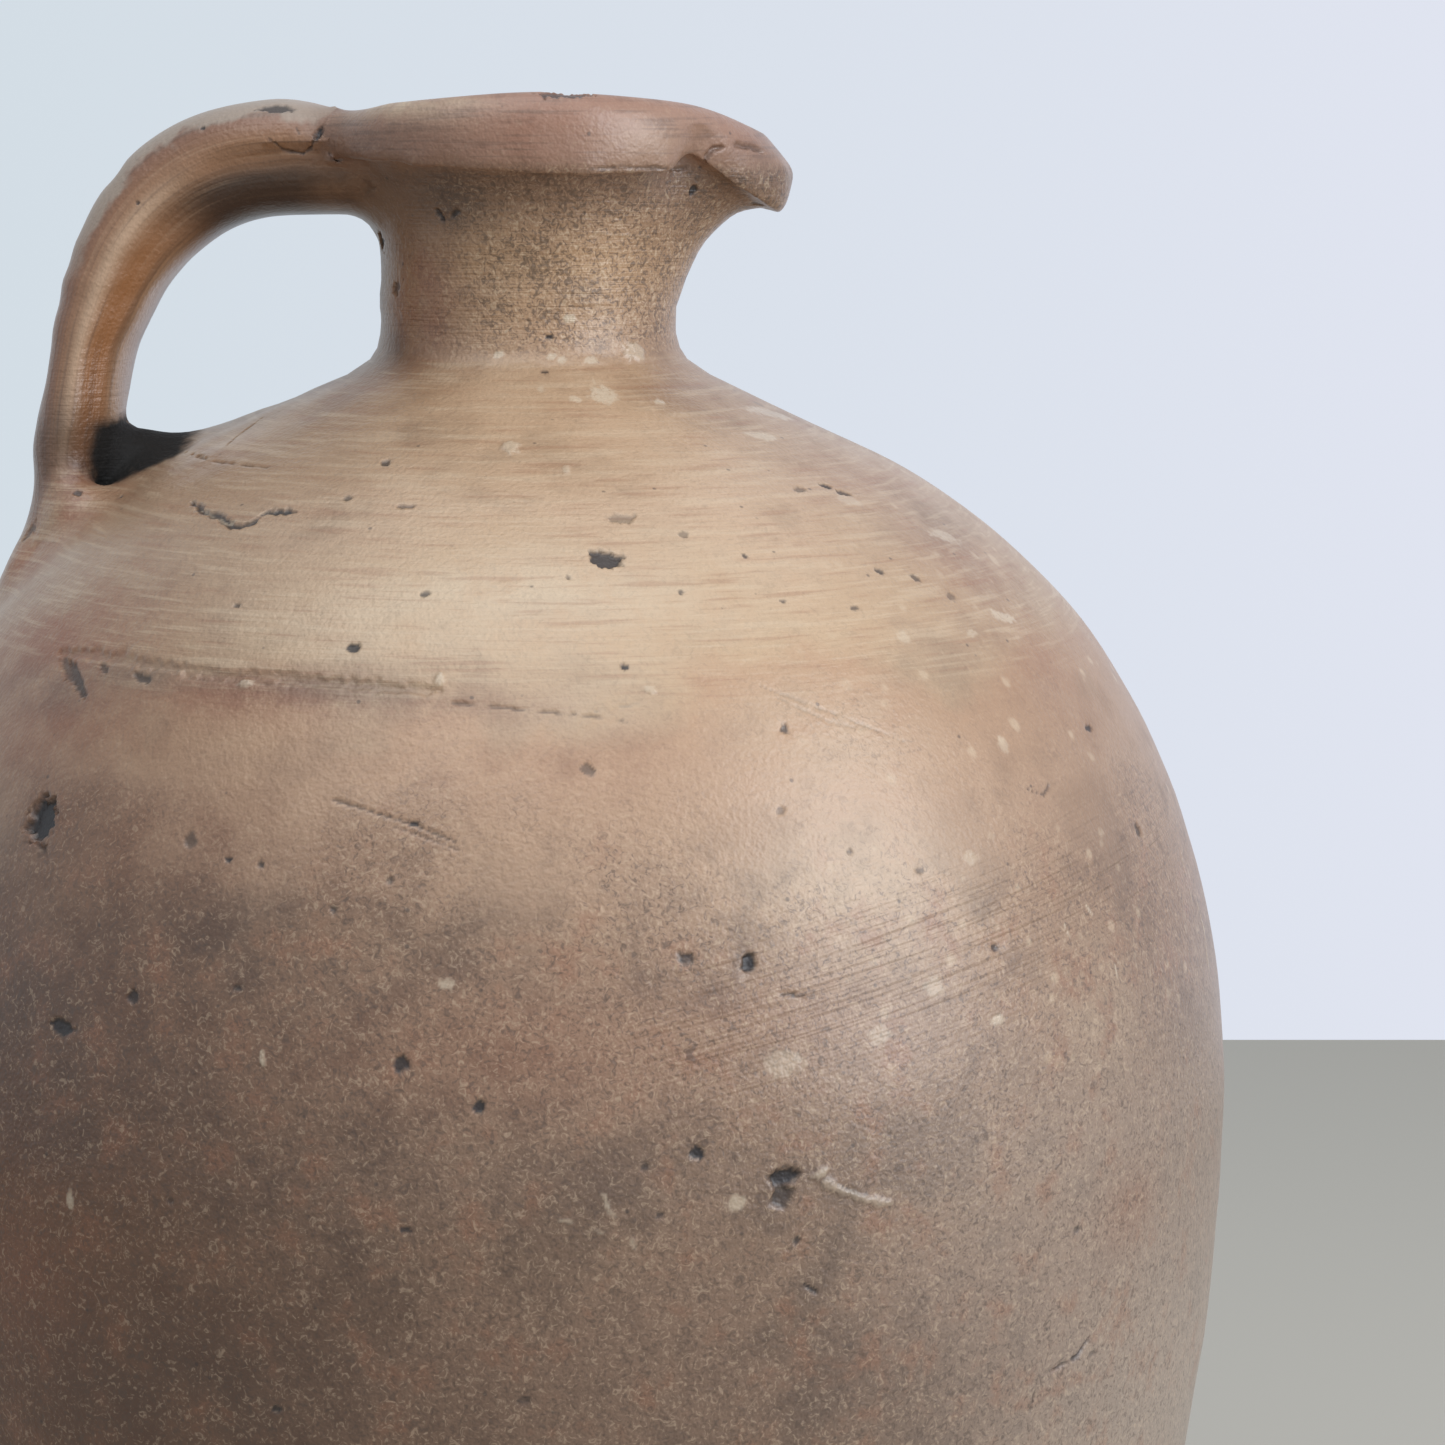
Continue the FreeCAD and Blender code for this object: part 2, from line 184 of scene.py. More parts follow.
def smooth_through(rows, between):
    """Rows of numbers with more rows eased in between each two."""
    rows = np.array(rows, dtype=float)
    ends = np.vstack([2 * rows[0] - rows[1], rows, 2 * rows[-1] - rows[-2]])
    out = []
    for a, b, c, d in zip(ends, ends[1:], ends[2:], ends[3:]):
        for k in range(between):
            t = k / between
            out.append(0.5 * (2 * b + (c - a) * t + (2 * a - 5 * b + 4 * c - d) * t ** 2
                              + (3 * b - a - 3 * c + d) * t ** 3))
    return out + [rows[-1]]


plain = (0.0,) * 6
rings = [(r, z) + plain for r, z in base + outer + turn_in + neck[:-1]]
rings += [(ring[0], NECK_TOP + ring[1], *ring[2:]) for ring in smooth_through(mouth_rings, RINGS_BETWEEN)]
rings += [(r, z) + plain for r, z in bore + inner]


class Wire:
    """One value in a node tree. Sums on it add Math nodes."""

    def __init__(self, nodes, socket):
        self.nodes = nodes
        self.socket = socket

    def __add__(self, other):
        return self.nodes.sum("ADD", self, other)

    def __radd__(self, other):
        return self.nodes.sum("ADD", other, self)

    def __sub__(self, other):
        return self.nodes.sum("SUBTRACT", self, other)

    def __rsub__(self, other):
        return self.nodes.sum("SUBTRACT", other, self)

    def __mul__(self, other):
        return self.nodes.sum("MULTIPLY", self, other)

    def __rmul__(self, other):
        return self.nodes.sum("MULTIPLY", other, self)

    def __truediv__(self, other):
        return self.nodes.sum("DIVIDE", self, other)

    def __rtruediv__(self, other):
        return self.nodes.sum("DIVIDE", other, self)

    def __pow__(self, other):
        return self.nodes.sum("POWER", self, other)

    def __neg__(self):
        return self.nodes.sum("MULTIPLY", self, -1.0)


class Nodes:
    """Writes a node tree: nodes by type, settings and inputs, and sums on their values."""

    def __init__(self, tree):
        self.tree = tree

    def add(self, kind, settings=None, values=None, out=0):
        node = self.tree.nodes.new(kind)
        for name, setting in (settings or {}).items():
            if name == "stops":
                ramp = node.color_ramp
                while len(ramp.elements) < len(setting):
                    ramp.elements.new(1.0)
                for element, (place, colour) in zip(ramp.elements, setting):
                    element.position = place
                    element.color = (*colour, 1.0)
            else:
                setattr(node, name, setting)
        for name, value in (values or {}).items():
            if isinstance(value, Wire):
                self.tree.links.new(value.socket, node.inputs[name])
            else:
                node.inputs[name].default_value = value
        return Wire(self, node.outputs[out])

    def sum(self, operation, *terms):
        return self.add("ShaderNodeMath", {"operation": operation}, dict(enumerate(terms)))

    def split(self, vector):
        node = self.add("ShaderNodeSeparateXYZ", None, {0: vector}).socket.node
        return [Wire(self, node.outputs[k]) for k in range(3)]

    def end(self, kind, value):
        """Adds the tree's last node and gives it a value."""
        self.tree.links.new(value.socket, self.tree.nodes.new(kind).inputs[0])


def joined(x, y, z):
    return x.nodes.add("ShaderNodeCombineXYZ", None, {0: x, 1: y, 2: z})


def most(first, *others):
    """The highest of some values."""
    for other in others:
        first = first.nodes.sum("MAXIMUM", first, other)
    return first


def bell(value, centre, half_width):
    """1 where a value is at its centre, easing to 0 a few half widths away."""
    away = (value - centre) / half_width
    return value.nodes.sum("EXPONENT", -(away * away))


def put(name, data):
    """A new object in the scene."""
    thing = bpy.data.objects.new(name, data)
    bpy.context.scene.collection.objects.link(thing)
    return thing


def give(mesh, name, values):
    """Gives each point of a mesh a named value, or three where the values come in rows."""
    values = np.array(values)
    kind, field = ("FLOAT", "value") if values.ndim == 1 else ("FLOAT_VECTOR", "vector")
    mesh.attributes.new(name, kind, "POINT").data.foreach_set(field, values.ravel())


def plain_mesh(carrier, name):
    """The evaluated mesh of an object, with the object's modifiers gone."""
    evaluated = carrier.evaluated_get(bpy.context.evaluated_depsgraph_get())
    mesh = bpy.data.meshes.new_from_object(evaluated)
    mesh.name = name
    carrier.modifiers.clear()
    return mesh


def socket_of(tree, name):
    return next(item.identifier for item in tree.interface.items_tree if item.name == name)


def wheel_tree(sizes):
    """The wheel: every ring of the profile goes once round the axis, eased into beak and collar."""
    tree = bpy.data.node_groups.new("wheel", "GeometryNodeTree")
    tree.interface.new_socket("Geometry", in_out="INPUT", socket_type="NodeSocketGeometry")
    tree.interface.new_socket("Segments", in_out="INPUT", socket_type="NodeSocketInt")
    for name in sizes:
        tree.interface.new_socket(name, in_out="INPUT", socket_type="NodeSocketFloat")
    tree.interface.new_socket("Geometry", in_out="OUTPUT", socket_type="NodeSocketGeometry")
    nodes = Nodes(tree)
    group = tree.nodes.new("NodeGroupInput")
    given = {name: Wire(nodes, group.outputs[name]) for name in ["Geometry", "Segments", *sizes]}
    profile = given["Geometry"]
    count = nodes.add("GeometryNodeAttributeDomainSize", {"component": "MESH"}, {0: profile})
    columns = given["Segments"] + 1.0
    grid = nodes.add("GeometryNodeMeshGrid", None,
                     {"Size X": 1.0, "Size Y": 1.0, "Vertices X": count, "Vertices Y": columns})
    index = nodes.add("GeometryNodeInputIndex")
    ring = nodes.sum("FLOOR", (index + 0.5) / columns)
    turn = (index - ring * columns) / given["Segments"]

    def ring_value(source):
        return nodes.split(nodes.add("GeometryNodeSampleIndex", {"data_type": "FLOAT_VECTOR"},
                                     {"Geometry": profile, "Value": source, "Index": ring}))

    def named(name):
        return nodes.add("GeometryNodeInputNamedAttribute", {"data_type": "FLOAT_VECTOR"}, {"Name": name})

    radius, _, height = ring_value(nodes.add("GeometryNodeInputPosition"))
    beak, drop, pinch = ring_value(named("spout"))
    fall, lift, flare = ring_value(named("rim"))
    angle = turn * (2 * math.pi)
    fore = nodes.sum("COSINE", angle)
    away = nodes.sum("MINIMUM", turn, 1 - turn) * 360.0
    spout = bell(away, 0.0, given["Beak half angle"])
    press = bell(away, given["Pinch angle"], given["Pinch half angle"]) * pinch
    reach = radius + flare * (fore - 1) * given["Flare"] + beak * spout * given["Beak reach"]
    reach = reach - press * given["Pinch depth"]
    crest_arm = fore - given["Crest peak"]
    arm = nodes.sum("SQRT", crest_arm * crest_arm + CREST_SOFTNESS ** 2) - CREST_SOFTNESS
    rise = height - drop * spout * given["Beak drop"] + press * given["Pinch lift"]
    rise = rise - fall * arm * given["Crest fall"]
    rise = rise + lift * most(-fore, 0.0) * given["Handle lift"]
    place = joined(reach * fore, reach * nodes.sum("SINE", angle), rise)
    thrown = nodes.add("GeometryNodeSetPosition", None, {"Geometry": grid, "Position": place})
    closed = nodes.add("GeometryNodeMergeByDistance", None, {"Geometry": thrown, "Distance": WELD * MM})
    real = nodes.add("GeometryNodeRealizeInstances", None, {"Geometry": closed})
    nodes.end("NodeGroupOutput", nodes.add("GeometryNodeSetMaterial", None, {"Geometry": real}))
    return tree


wheel_sizes = {
    "Beak reach": BEAK_REACH * MM, "Beak drop": BEAK_DROP * MM, "Beak half angle": BEAK_HALF_ANGLE,
    "Pinch angle": PINCH_ANGLE, "Pinch half angle": PINCH_HALF_ANGLE, "Pinch depth": PINCH_DEPTH * MM,
    "Pinch lift": PINCH_LIFT * MM, "Crest fall": CREST_FALL * MM, "Crest peak": CREST_PEAK,
    "Handle lift": COLLAR_HANDLE_LIFT * MM, "Flare": spread * MM / 2}
profile = bpy.data.meshes.new("wall_profile")
profile.from_pydata([(r * MM, 0.0, z * MM) for r, z, *_ in rings], [], [])
give(profile, "spout", [ring[2:5] for ring in rings])
give(profile, "rim", [ring[5:] for ring in rings])
jug = put("stoneware_jug", profile)
wheel = jug.modifiers.new("wheel", "NODES")
wheel.node_group = wheel_tree(wheel_sizes)
wheel[socket_of(wheel.node_group, "Segments")] = RING_SEGMENTS
for name, size in wheel_sizes.items():
    wheel[socket_of(wheel.node_group, name)] = size
jug.data = plain_mesh(jug, "thrown_wall")


# The strap handle: pulled from one length of wet clay, arched from the collar down to the shoulder
# and luted on at both ends. Its edge shows two pulled ridges with a valley between them, and where
# it leaves the collar the rolled clay hangs over its lower half.
ARCH = NECK_TOP + 30.0
STRAP_LINE = [(-36.0, ARCH), (-50.0, ARCH), (-65.6, ARCH - 4.6), (-78.2, ARCH - 16.8),
              (-87.2, ARCH - 39.0), (-90.6, ARCH - 58.0), (-92.8, ARCH - 68.0), (-99.0, ARCH - 84.0),
              (-111.5, ARCH - 107.0)]
# The root's end lies in the collar's wall, on a cone round the axis that spreads near the rim
ROOT_RADIUS = 28.3
ROOT_HEIGHT = 360.0
ROOT_LEAN = 0.42
ROOT_BEND = (368.0, 376.0)
ROOT_SPREAD = 2.5
STRAP_STATIONS = 130
STRAP_POINTS = 64
STRAP_SQUARENESS = 0.8
TOP_THICKNESS = 25.0
LOW_THICKNESS = 14.0
TAIL_THICKNESS = 16.0
TOP_WIDTH = 45.0
STRAP_WIDTH = 34.0
TAIL_WIDTH = 50.0
GROOVE_DEPTH = 1.6
# Where the strap changes, as shares of its length from the collar
ROOT_SHARE = (0.0, 0.12)
THINNING = (0.17, 0.65)
THICKENING = (0.75, 1.0)
NARROWING = (0.0, 0.3)
SPREADING = (0.65, 1.0)
RIDGES_RISE = (0.1, 0.3)
RIDGES_FADE = (0.8, 0.9)
RIDGES_TURN = (0.6, 0.8)
FOLD_SHARE = (0.0, 0.24)
# The ridges and the valley: place and half width in shares of half the thickness, and height
RIDGES = ((-0.05, 0.16, 0.9), (-0.5, 0.2, -1.0), (-0.92, 0.14, 0.8))
RIDGES_SHIFT = -0.6
FOLD_HANG = 2.2
FOLD_EDGE = (-0.09, 0.19)
STRAP_UNEVEN = 0.5
STRAP_LUMPS = (0.06, 0.05, 0.06)


def curve_through(points, count):
    """Places and directions at even steps along a natural cubic curve through points."""
    points = np.array(points)
    chord = np.concatenate([[0.0], np.cumsum(np.linalg.norm(np.diff(points, axis=0), axis=1))])
    gaps = np.diff(chord)
    size = len(points)
    system = np.eye(size)
    sides = np.zeros_like(points)
    for k in range(1, size - 1):
        system[k, k - 1:k + 2] = gaps[k - 1], 2 * (gaps[k - 1] + gaps[k]), gaps[k]
        sides[k] = 6 * ((points[k + 1] - points[k]) / gaps[k]
                        - (points[k] - points[k - 1]) / gaps[k - 1])
    bend = np.linalg.solve(system, sides)
    places = []
    ways = []
    for distance in np.linspace(0.0, chord[-1], count):
        k = min(size - 2, int(np.searchsorted(chord, distance, side="right")) - 1)
        h, a, b = gaps[k], chord[k + 1] - distance, distance - chord[k]
        places.append(bend[k] * a ** 3 / (6 * h) + bend[k + 1] * b ** 3 / (6 * h)
                      + (points[k] / h - bend[k] * h / 6) * a
                      + (points[k + 1] / h - bend[k + 1] * h / 6) * b)
        ways.append(-bend[k] * a ** 2 / (2 * h) + bend[k + 1] * b ** 2 / (2 * h)
                    + (points[k + 1] - points[k]) / h - (bend[k + 1] - bend[k]) * h / 6)
    return places, ways


def eased(value, stretch):
    """0 before a stretch, 1 after it, and smooth between."""
    share = min(1.0, max(0.0, (value - stretch[0]) / (stretch[1] - stretch[0])))
    return share * share * (3 - 2 * share)


def blend_sizes(first, second, share):
    return first + (second - first) * share


def softened(value, squareness):
    return math.copysign(abs(value) ** squareness, value)


def lumps(x, y, z):
    """Even noise between -1 and 1."""
    return noise.noise(Vector((x, y, z)))


strap_points = []
strap_marks = []
root_shifts = []
for station, (place, way) in enumerate(zip(*curve_through(STRAP_LINE, STRAP_STATIONS))):
    share = station / (STRAP_STATIONS - 1)
    way = way / np.linalg.norm(way)
    centre = np.array([place[0], 0.0, place[1]])
    outward = np.array([way[1], 0.0, -way[0]])
    thickness = blend_sizes(TOP_THICKNESS, LOW_THICKNESS, eased(share, THINNING))
    thickness = blend_sizes(thickness, TAIL_THICKNESS, eased(share, THICKENING))
    width = blend_sizes(TOP_WIDTH, STRAP_WIDTH, eased(share, NARROWING))
    width = blend_sizes(width, TAIL_WIDTH, eased(share, SPREADING))
    pulled = eased(share, RIDGES_RISE) * (1 - eased(share, RIDGES_FADE))
    shift = RIDGES_SHIFT * eased(share, RIDGES_TURN)
    hang = FOLD_HANG * (1 - eased(share, FOLD_SHARE))
    for point in range(STRAP_POINTS):
        turn = 2 * math.pi * point / STRAP_POINTS
        across = softened(math.cos(turn), STRAP_SQUARENESS)
        out = softened(math.sin(turn), STRAP_SQUARENESS)
        ridges = sum(height * math.exp(-((out - middle - shift) / half) ** 2)
                     for middle, half, height in RIDGES)
        fold = 2 * eased(out, FOLD_EDGE) - 1
        edge = math.copysign(min(1.0, 2 * abs(across)), across)
        side = across * width / 2 + edge * (pulled * ridges + hang * fold)
        depth = out * thickness / 2
        if out > 0:
            depth -= GROOVE_DEPTH * math.cos(math.pi / 2 * across) ** 2
        spot = centre + outward * depth
        if station == 0:
            root = ROOT_RADIUS + ROOT_LEAN * (spot[2] - ROOT_HEIGHT)
            root += ROOT_SPREAD * eased(spot[2], ROOT_BEND)
            root_shifts.append(-math.sqrt(max(0.0, root * root - side * side)) - spot[0])
        spot[0] += root_shifts[point] * (1 - eased(share, ROOT_SHARE))
        uneven = STRAP_UNEVEN * lumps(
            spot[0] * STRAP_LUMPS[0], side * STRAP_LUMPS[1], spot[2] * STRAP_LUMPS[2])
        strap_points.append(((spot[0] - uneven) * MM, (side + across * uneven) * MM, spot[2] * MM))
        strap_marks.append((share, across, out - shift))
strap_faces = []
for station in range(STRAP_STATIONS - 1):
    for point in range(STRAP_POINTS):
        a = station * STRAP_POINTS + point
        b = station * STRAP_POINTS + (point + 1) % STRAP_POINTS
        strap_faces.append((a, b, b + STRAP_POINTS, a + STRAP_POINTS))
strap_faces += [tuple(dict.fromkeys(point % STRAP_POINTS for point in (k + 1, k, -k, -k - 1)))
                for k in range(STRAP_POINTS // 2)]
strap_faces.append(tuple(range(len(strap_points) - STRAP_POINTS, len(strap_points))))
strap_mesh = bpy.data.meshes.new("strap")
strap_mesh.from_pydata(strap_points, [], strap_faces)
give(strap_mesh, "strap_place", strap_marks)
give(strap_mesh, "strap", [1.0] * len(strap_points))


# Wet clay pressed in with the strap: a wedge in the crook between it and the shoulder, and webs at
# the edges of its foot. All of it is luted to the wall, and the seams are wiped smooth with a
# finger, so the pieces run into each other, except inside the mouth.
CROOK = ((-78.5, 0.0, 302.5), (13.0, 8.8, 14.8))
CROOK_SQUARENESS = 0.7
WEBS = [((reach, side * half_gap, height), half_sizes)
        for reach, half_gap, height, half_sizes in ((-87.5, 17.0, 299.0, (8.5, 8.0, 11.0)),
                                                    (-98.0, 18.0, 286.0, (6.0, 9.0, 12.0)))
        for side in (-1, 1)]
WEB_SQUARENESS = 0.15
CLAY_DETAIL = 4
CLAY_UNEVEN = 0.05
CLAY_LUMPS = 4
SEAM_REACH = 10.0
SEAM_PASSES = 60
SEAM_PULL = 0.5
# How far wiping takes clay off between the strap's foot and the rim; at both it does so in full
SEAM_SHRINK = 0.15
FOOT_SMEARED = (316.0, 330.0)
RIM_SMEARED = (374.0, 378.0)
RIM_REACH = (44.0, 52.0)
MOUTH_RADIUS = 40.0
MOUTH_FACING = (-0.5, 0.0)


def pressed_clay(name, middle, half_sizes, squareness):
    """A lump of clay as a closed mesh, rounder or squarer, a little uneven."""
    lump = bmesh.new()
    bmesh.ops.create_icosphere(lump, subdivisions=CLAY_DETAIL, radius=1.0)
    for vertex in lump.verts:
        way = vertex.co.normalized()
        size = 1 + CLAY_UNEVEN * noise.noise(way * CLAY_LUMPS)
        size /= max(abs(part) for part in way) ** squareness
        vertex.co = [(centre + half * part * size) * MM
                     for centre, half, part in zip(middle, half_sizes, way)]
    mesh = bpy.data.meshes.new(name)
    lump.to_mesh(mesh)
    lump.free()
    return mesh


pressed = [pressed_clay("crook", *CROOK, CROOK_SQUARENESS)]
pressed += [pressed_clay("web", *web, WEB_SQUARENESS) for web in WEBS]


def numbers(data, name, width, kind=float):
    """A mesh's values as rows."""
    values = np.empty(len(data) * width, dtype=kind)
    data.foreach_get(name, values)
    return values.reshape(-1, width) if width > 1 else values


def faced_out(mesh):
    """The mesh with its faces turned outwards: a closed mesh facing inwards has a negative volume."""
    mesh.calc_loop_triangles()
    spots = numbers(mesh.vertices, "co", 3)
    a, b, c = (spots[numbers(mesh.loop_triangles, "vertices", 3, np.int32)[:, k]] for k in range(3))
    if np.einsum("ij,ij->i", a, np.cross(b, c)).sum() < 0:
        mesh.flip_normals()
    return mesh


def luted(carrier, mesh):
    """The carrier's mesh with another closed mesh fused to it."""
    part = put(mesh.name, faced_out(mesh))
    union = carrier.modifiers.new("luted", "BOOLEAN")
    union.operation = "UNION"
    union.solver = "MANIFOLD"
    union.object = part
    mesh = plain_mesh(carrier, carrier.data.name)
    bpy.data.objects.remove(part)
    return mesh


def tree_of(mesh):
    return BVHTree.FromPolygons([vertex.co for vertex in mesh.vertices],
                                [tuple(face.vertices) for face in mesh.polygons])


def wiped(values, weights, edges, passes):
    """Values at the vertices eased towards their neighbours', more where the weights are higher."""
    degree = np.maximum(1, np.bincount(edges.ravel(), minlength=len(values)))[:, None]
    touched = edges[(weights[edges] > 0).any(axis=1)]
    for _ in range(passes):
        total = np.zeros_like(values)
        np.add.at(total, touched[:, 0], values[touched[:, 1]])
        np.add.at(total, touched[:, 1], values[touched[:, 0]])
        values = values + SEAM_PULL * weights[:, None] * (total / degree - values)
    return values


def reach_to(surface, spot):
    """How far a spot lies from a surface in millimetres, up to a seam's reach."""
    found = surface.find_nearest(spot, SEAM_REACH * MM)
    return found[3] / MM if found[0] else SEAM_REACH


def seam_weight(vertex, gap):
    """How far a seam is wiped at a vertex that lies a gap from it: not at all inside the mouth."""
    radius = math.hypot(vertex.co.x, vertex.co.y)
    facing = (vertex.normal.x * vertex.co.x + vertex.normal.y * vertex.co.y) / max(radius, MM)
    weight = 1 - eased(gap, (0.0, SEAM_REACH))
    return weight * eased(facing, MOUTH_FACING) if radius < MOUTH_RADIUS * MM else weight


surfaces = [tree_of(mesh) for mesh in (faced_out(jug.data), strap_mesh, *pressed)]
for mesh in (strap_mesh, *pressed):
    jug.data = luted(jug, mesh)
seam_gaps = [sorted(reach_to(surface, vertex.co) for surface in surfaces)[1]
             for vertex in jug.data.vertices]
seam_weights = np.array([seam_weight(*pair) for pair in zip(jug.data.vertices, seam_gaps)])
seam_edges = numbers(jug.data.edges, "vertices", 2, np.int32)
strap_share = numbers(jug.data.attributes["strap"].data, "value", 1)[:, None]
strap_share = wiped(strap_share, seam_weights, seam_edges, SEAM_PASSES)[:, 0]
jug.data.attributes["strap"].data.foreach_set("value", strap_share)
spots = numbers(jug.data.vertices, "co", 3)
filled = wiped(spots, seam_weights, seam_edges, SEAM_PASSES) - spots
outwards = np.einsum("ij,ij->i", filled, numbers(jug.data.vertices, "normal", 3))
at_rim = np.array([eased(z, RIM_SMEARED) * (1 - eased(math.hypot(x, y), RIM_REACH))
                   for x, y, z in spots / MM])
kept = np.array([eased(z, FOOT_SMEARED) for z in spots[:, 2] / MM]) * (1 - at_rim)
spots += filled * np.where(outwards > 0, 1.0, 1 - (1 - SEAM_SHRINK) * kept)[:, None]
jug.data.vertices.foreach_set("co", spots.ravel())


# What the hand, the fire and the years left in the clay: throwing rings, broad on the body and fine
# on the neck, a smear on the shoulder by the handle, pits, chips, cracks, stains and drips of glaze.
# Each mark is set down where it is seen on the real jug, and cast onto the wall from the same eye.
EYE = Vector((0.0385, -0.720, 0.365))
EYE_PITCH = math.radians(8.414)
PHOTO_SIDE = 1445
FOCAL_PIXELS = 3600.0
# The wall's swells: how far each stands out in millimetres, its height and half height, and how
# fast its noise changes across the wall and upwards
RING_SWELL = 0.22
RING_LUMPS = (0.004, 1 / 11.0)
WALL_UNEVEN = 0.35
WALL_LUMPS = (0.025, 0.03)
SMEAR_SWELL = (1.36, 0.85)
SMEAR_BAND = (318.0, 9.0)
SMEAR_HALF_ANGLE = 42.0
SMEAR_LUMPS = (0.1, 0.1)
HEM_WAVE = 1.1
HEM_BAND = (368.5, 3.0)
HEM_RADII = (37.0, 39.0)
HEM_LUMPS = (0.13, 0.0)
NECK_SWELL = 0.5
NECK_BAND = (346.0, 11.0)
NECK_LUMPS = (0.02, 1 / 5.0)
LEVEL_FOOT = (0.5, 6.0)
# Pits and flecks: the most that a slanted wall stretches one, and its ragged edge
MARK_SLANT = 0.35
MARK_REACH = 1.6
MARK_EDGE = (0.7, 1.05)
MARK_RAGGED = ((0.9, 0.42), (2.4, 0.21))
MARK_CELL = 0.45
MARK_ROUNDS = 3
MARK_MARGIN = 0.6
# Lines: their step in pixels, their edge, how they thin at the ends, waver and break off
LINE_STEP = 6.0
LINE_EDGE = (0.45, 1.1)
LINE_SOFTNESS = 0.05
LINE_TAPER = (0.4, 0.3)
LINE_WAVER = 1.2
LINE_THINNEST = 0.25
LINE_LUMPS = 0.7
LINE_GAPS = 0.23
LINE_BREAKS = (-0.35, 0.0)
UNBROKEN_HALF = 0.7
DRIFT_SIZE = 24.0
DRIFT_OCTAVES = 4

# x, y, width and height in pixels, tilt in degrees, depth in millimetres, share burnt
PITS = [
    (605, 558, 38, 17, -14, 0.8, 0.95), (622, 518, 30, 9, 4, 0.35, 0.45), (353, 647, 17, 9, 0, 0.4, 0.95),
    (425, 594, 10, 6, 0, 0.3, 0.8), (237, 605, 8, 5, 0, 0.3, 0.7), (568, 577, 6, 4, 0, 0.2, 0.6),
    (681, 592, 6, 5, 0, 0.2, 0.7), (745, 556, 6, 5, 0, 0.2, 0.8), (625, 667, 10, 7, 0, 0.3, 0.95),
    (683, 534, 12, 7, 10, 0.2, 0.5), (783, 601, 6, 4, 0, 0.2, 0.7), (855, 608, 9, 5, 0, 0.2, 0.7),
    (880, 571, 10, 6, -30, 0.3, 0.8), (916, 578, 10, 7, -30, 0.3, 0.7), (951, 596, 9, 7, 0, 0.2, 0.5),
    (826, 486, 9, 5, -30, 0.3, 0.9), (843, 493, 12, 5, -30, 0.3, 0.8), (800, 489, 12, 5, -10, 0.3, 0.6),
    (385, 463, 10, 6, 20, 0.4, 0.8), (348, 498, 9, 5, 10, 0.3, 0.7), (404, 506, 20, 4, 0, 0.3, 0.6),
    (588, 770, 17, 13, 0, 0.2, 0.6), (785, 729, 9, 8, 0, 0.3, 0.8), (781, 811, 9, 8, 0, 0.2, 0.5),
    (850, 851, 7, 6, 0, 0.2, 0.6), (415, 824, 13, 6, -10, 0.4, 0.95), (40, 820, 31, 48, 8, 1.4, 1.0),
    (190, 841, 14, 17, 30, 0.3, 0.6), (229, 859, 8, 7, 0, 0.3, 0.9), (261, 865, 7, 7, 0, 0.3, 0.8),
    (390, 880, 8, 7, 0, 0.2, 0.6), (333, 909, 9, 8, 0, 0.3, 0.7), (61, 1027, 30, 17, -10, 0.5, 0.95),
    (132, 997, 13, 15, -30, 0.4, 0.8), (238, 988, 9, 7, 0, 0.3, 0.7), (401, 1064, 17, 19, -20, 0.4, 0.9),
    (479, 1107, 12, 15, 0, 0.4, 0.95), (687, 958, 18, 13, 0, 0.3, 0.8), (749, 963, 17, 18, 0, 0.6, 1.0),
    (791, 995, 22, 5, -6, 0.3, 0.6), (697, 1153, 17, 14, 0, 0.4, 1.0), (645, 1167, 9, 9, 0, 0.2, 0.7),
    (660, 1215, 8, 8, 0, 0.2, 0.7), (784, 1178, 34, 19, 8, 0.9, 1.0), (781, 1197, 26, 24, 60, 0.8, 0.75),
    (797, 1240, 9, 8, 40, 0.2, 0.8), (811, 1289, 20, 6, -35, 0.3, 0.85), (1089, 728, 8, 8, 0, 0.3, 0.9),
    (1138, 830, 5, 16, 0, 0.3, 0.7), (920, 871, 9, 8, 0, 0.2, 0.6), (995, 948, 9, 8, 0, 0.3, 0.8),
    (1077, 1229, 9, 8, 0, 0.2, 0.6), (276, 1409, 12, 9, 0, 0.3, 0.8), (406, 1230, 13, 7, 0, 0.2, 0.8),
    (170, 1201, 9, 8, 0, 0.2, 0.5), (525, 1400, 14, 10, 0, 0.2, 0.5), (1093, 1353, 9, 8, 0, 0.2, 0.5),
    (693, 191, 8, 11, -20, 0.4, 0.95), (439, 214, 14, 7, -50, 0.5, 0.8), (455, 213, 12, 6, 30, 0.4, 0.8),
    (549, 337, 7, 5, 0, 0.3, 0.95), (544, 372, 8, 4, 0, 0.3, 0.95), (381, 240, 7, 18, 20, 0.6, 0.9),
    (396, 288, 7, 16, -10, 0.4, 0.6), (277, 108, 40, 8, 0, 0.4, 0.85), (566, 93, 54, 8, 0, 0.6, 0.75),
    (757, 204, 12, 5, 8, 0.2, 0.6), (319, 133, 7, 14, -20, 0.6, 0.95), (31, 530, 7, 24, -24, 0.25, 0.6),
    (76, 678, 58, 10, -34, 0.6, 0.75), (66, 667, 34, 8, -34, 0.5, 0.6), (142, 678, 26, 8, -14, 0.5, 0.7),
    (103, 668, 18, 6, -30, 0.4, 0.6), (78, 493, 9, 6, 30, 0.4, 0.8), (203, 128, 6, 4, 0, 0.2, 0.9),
    (138, 203, 5, 5, 0, 0.2, 0.8), (120, 497, 6, 4, 0, 0.3, 0.8), (268, 512, 5, 4, 0, 0.3, 0.7)]

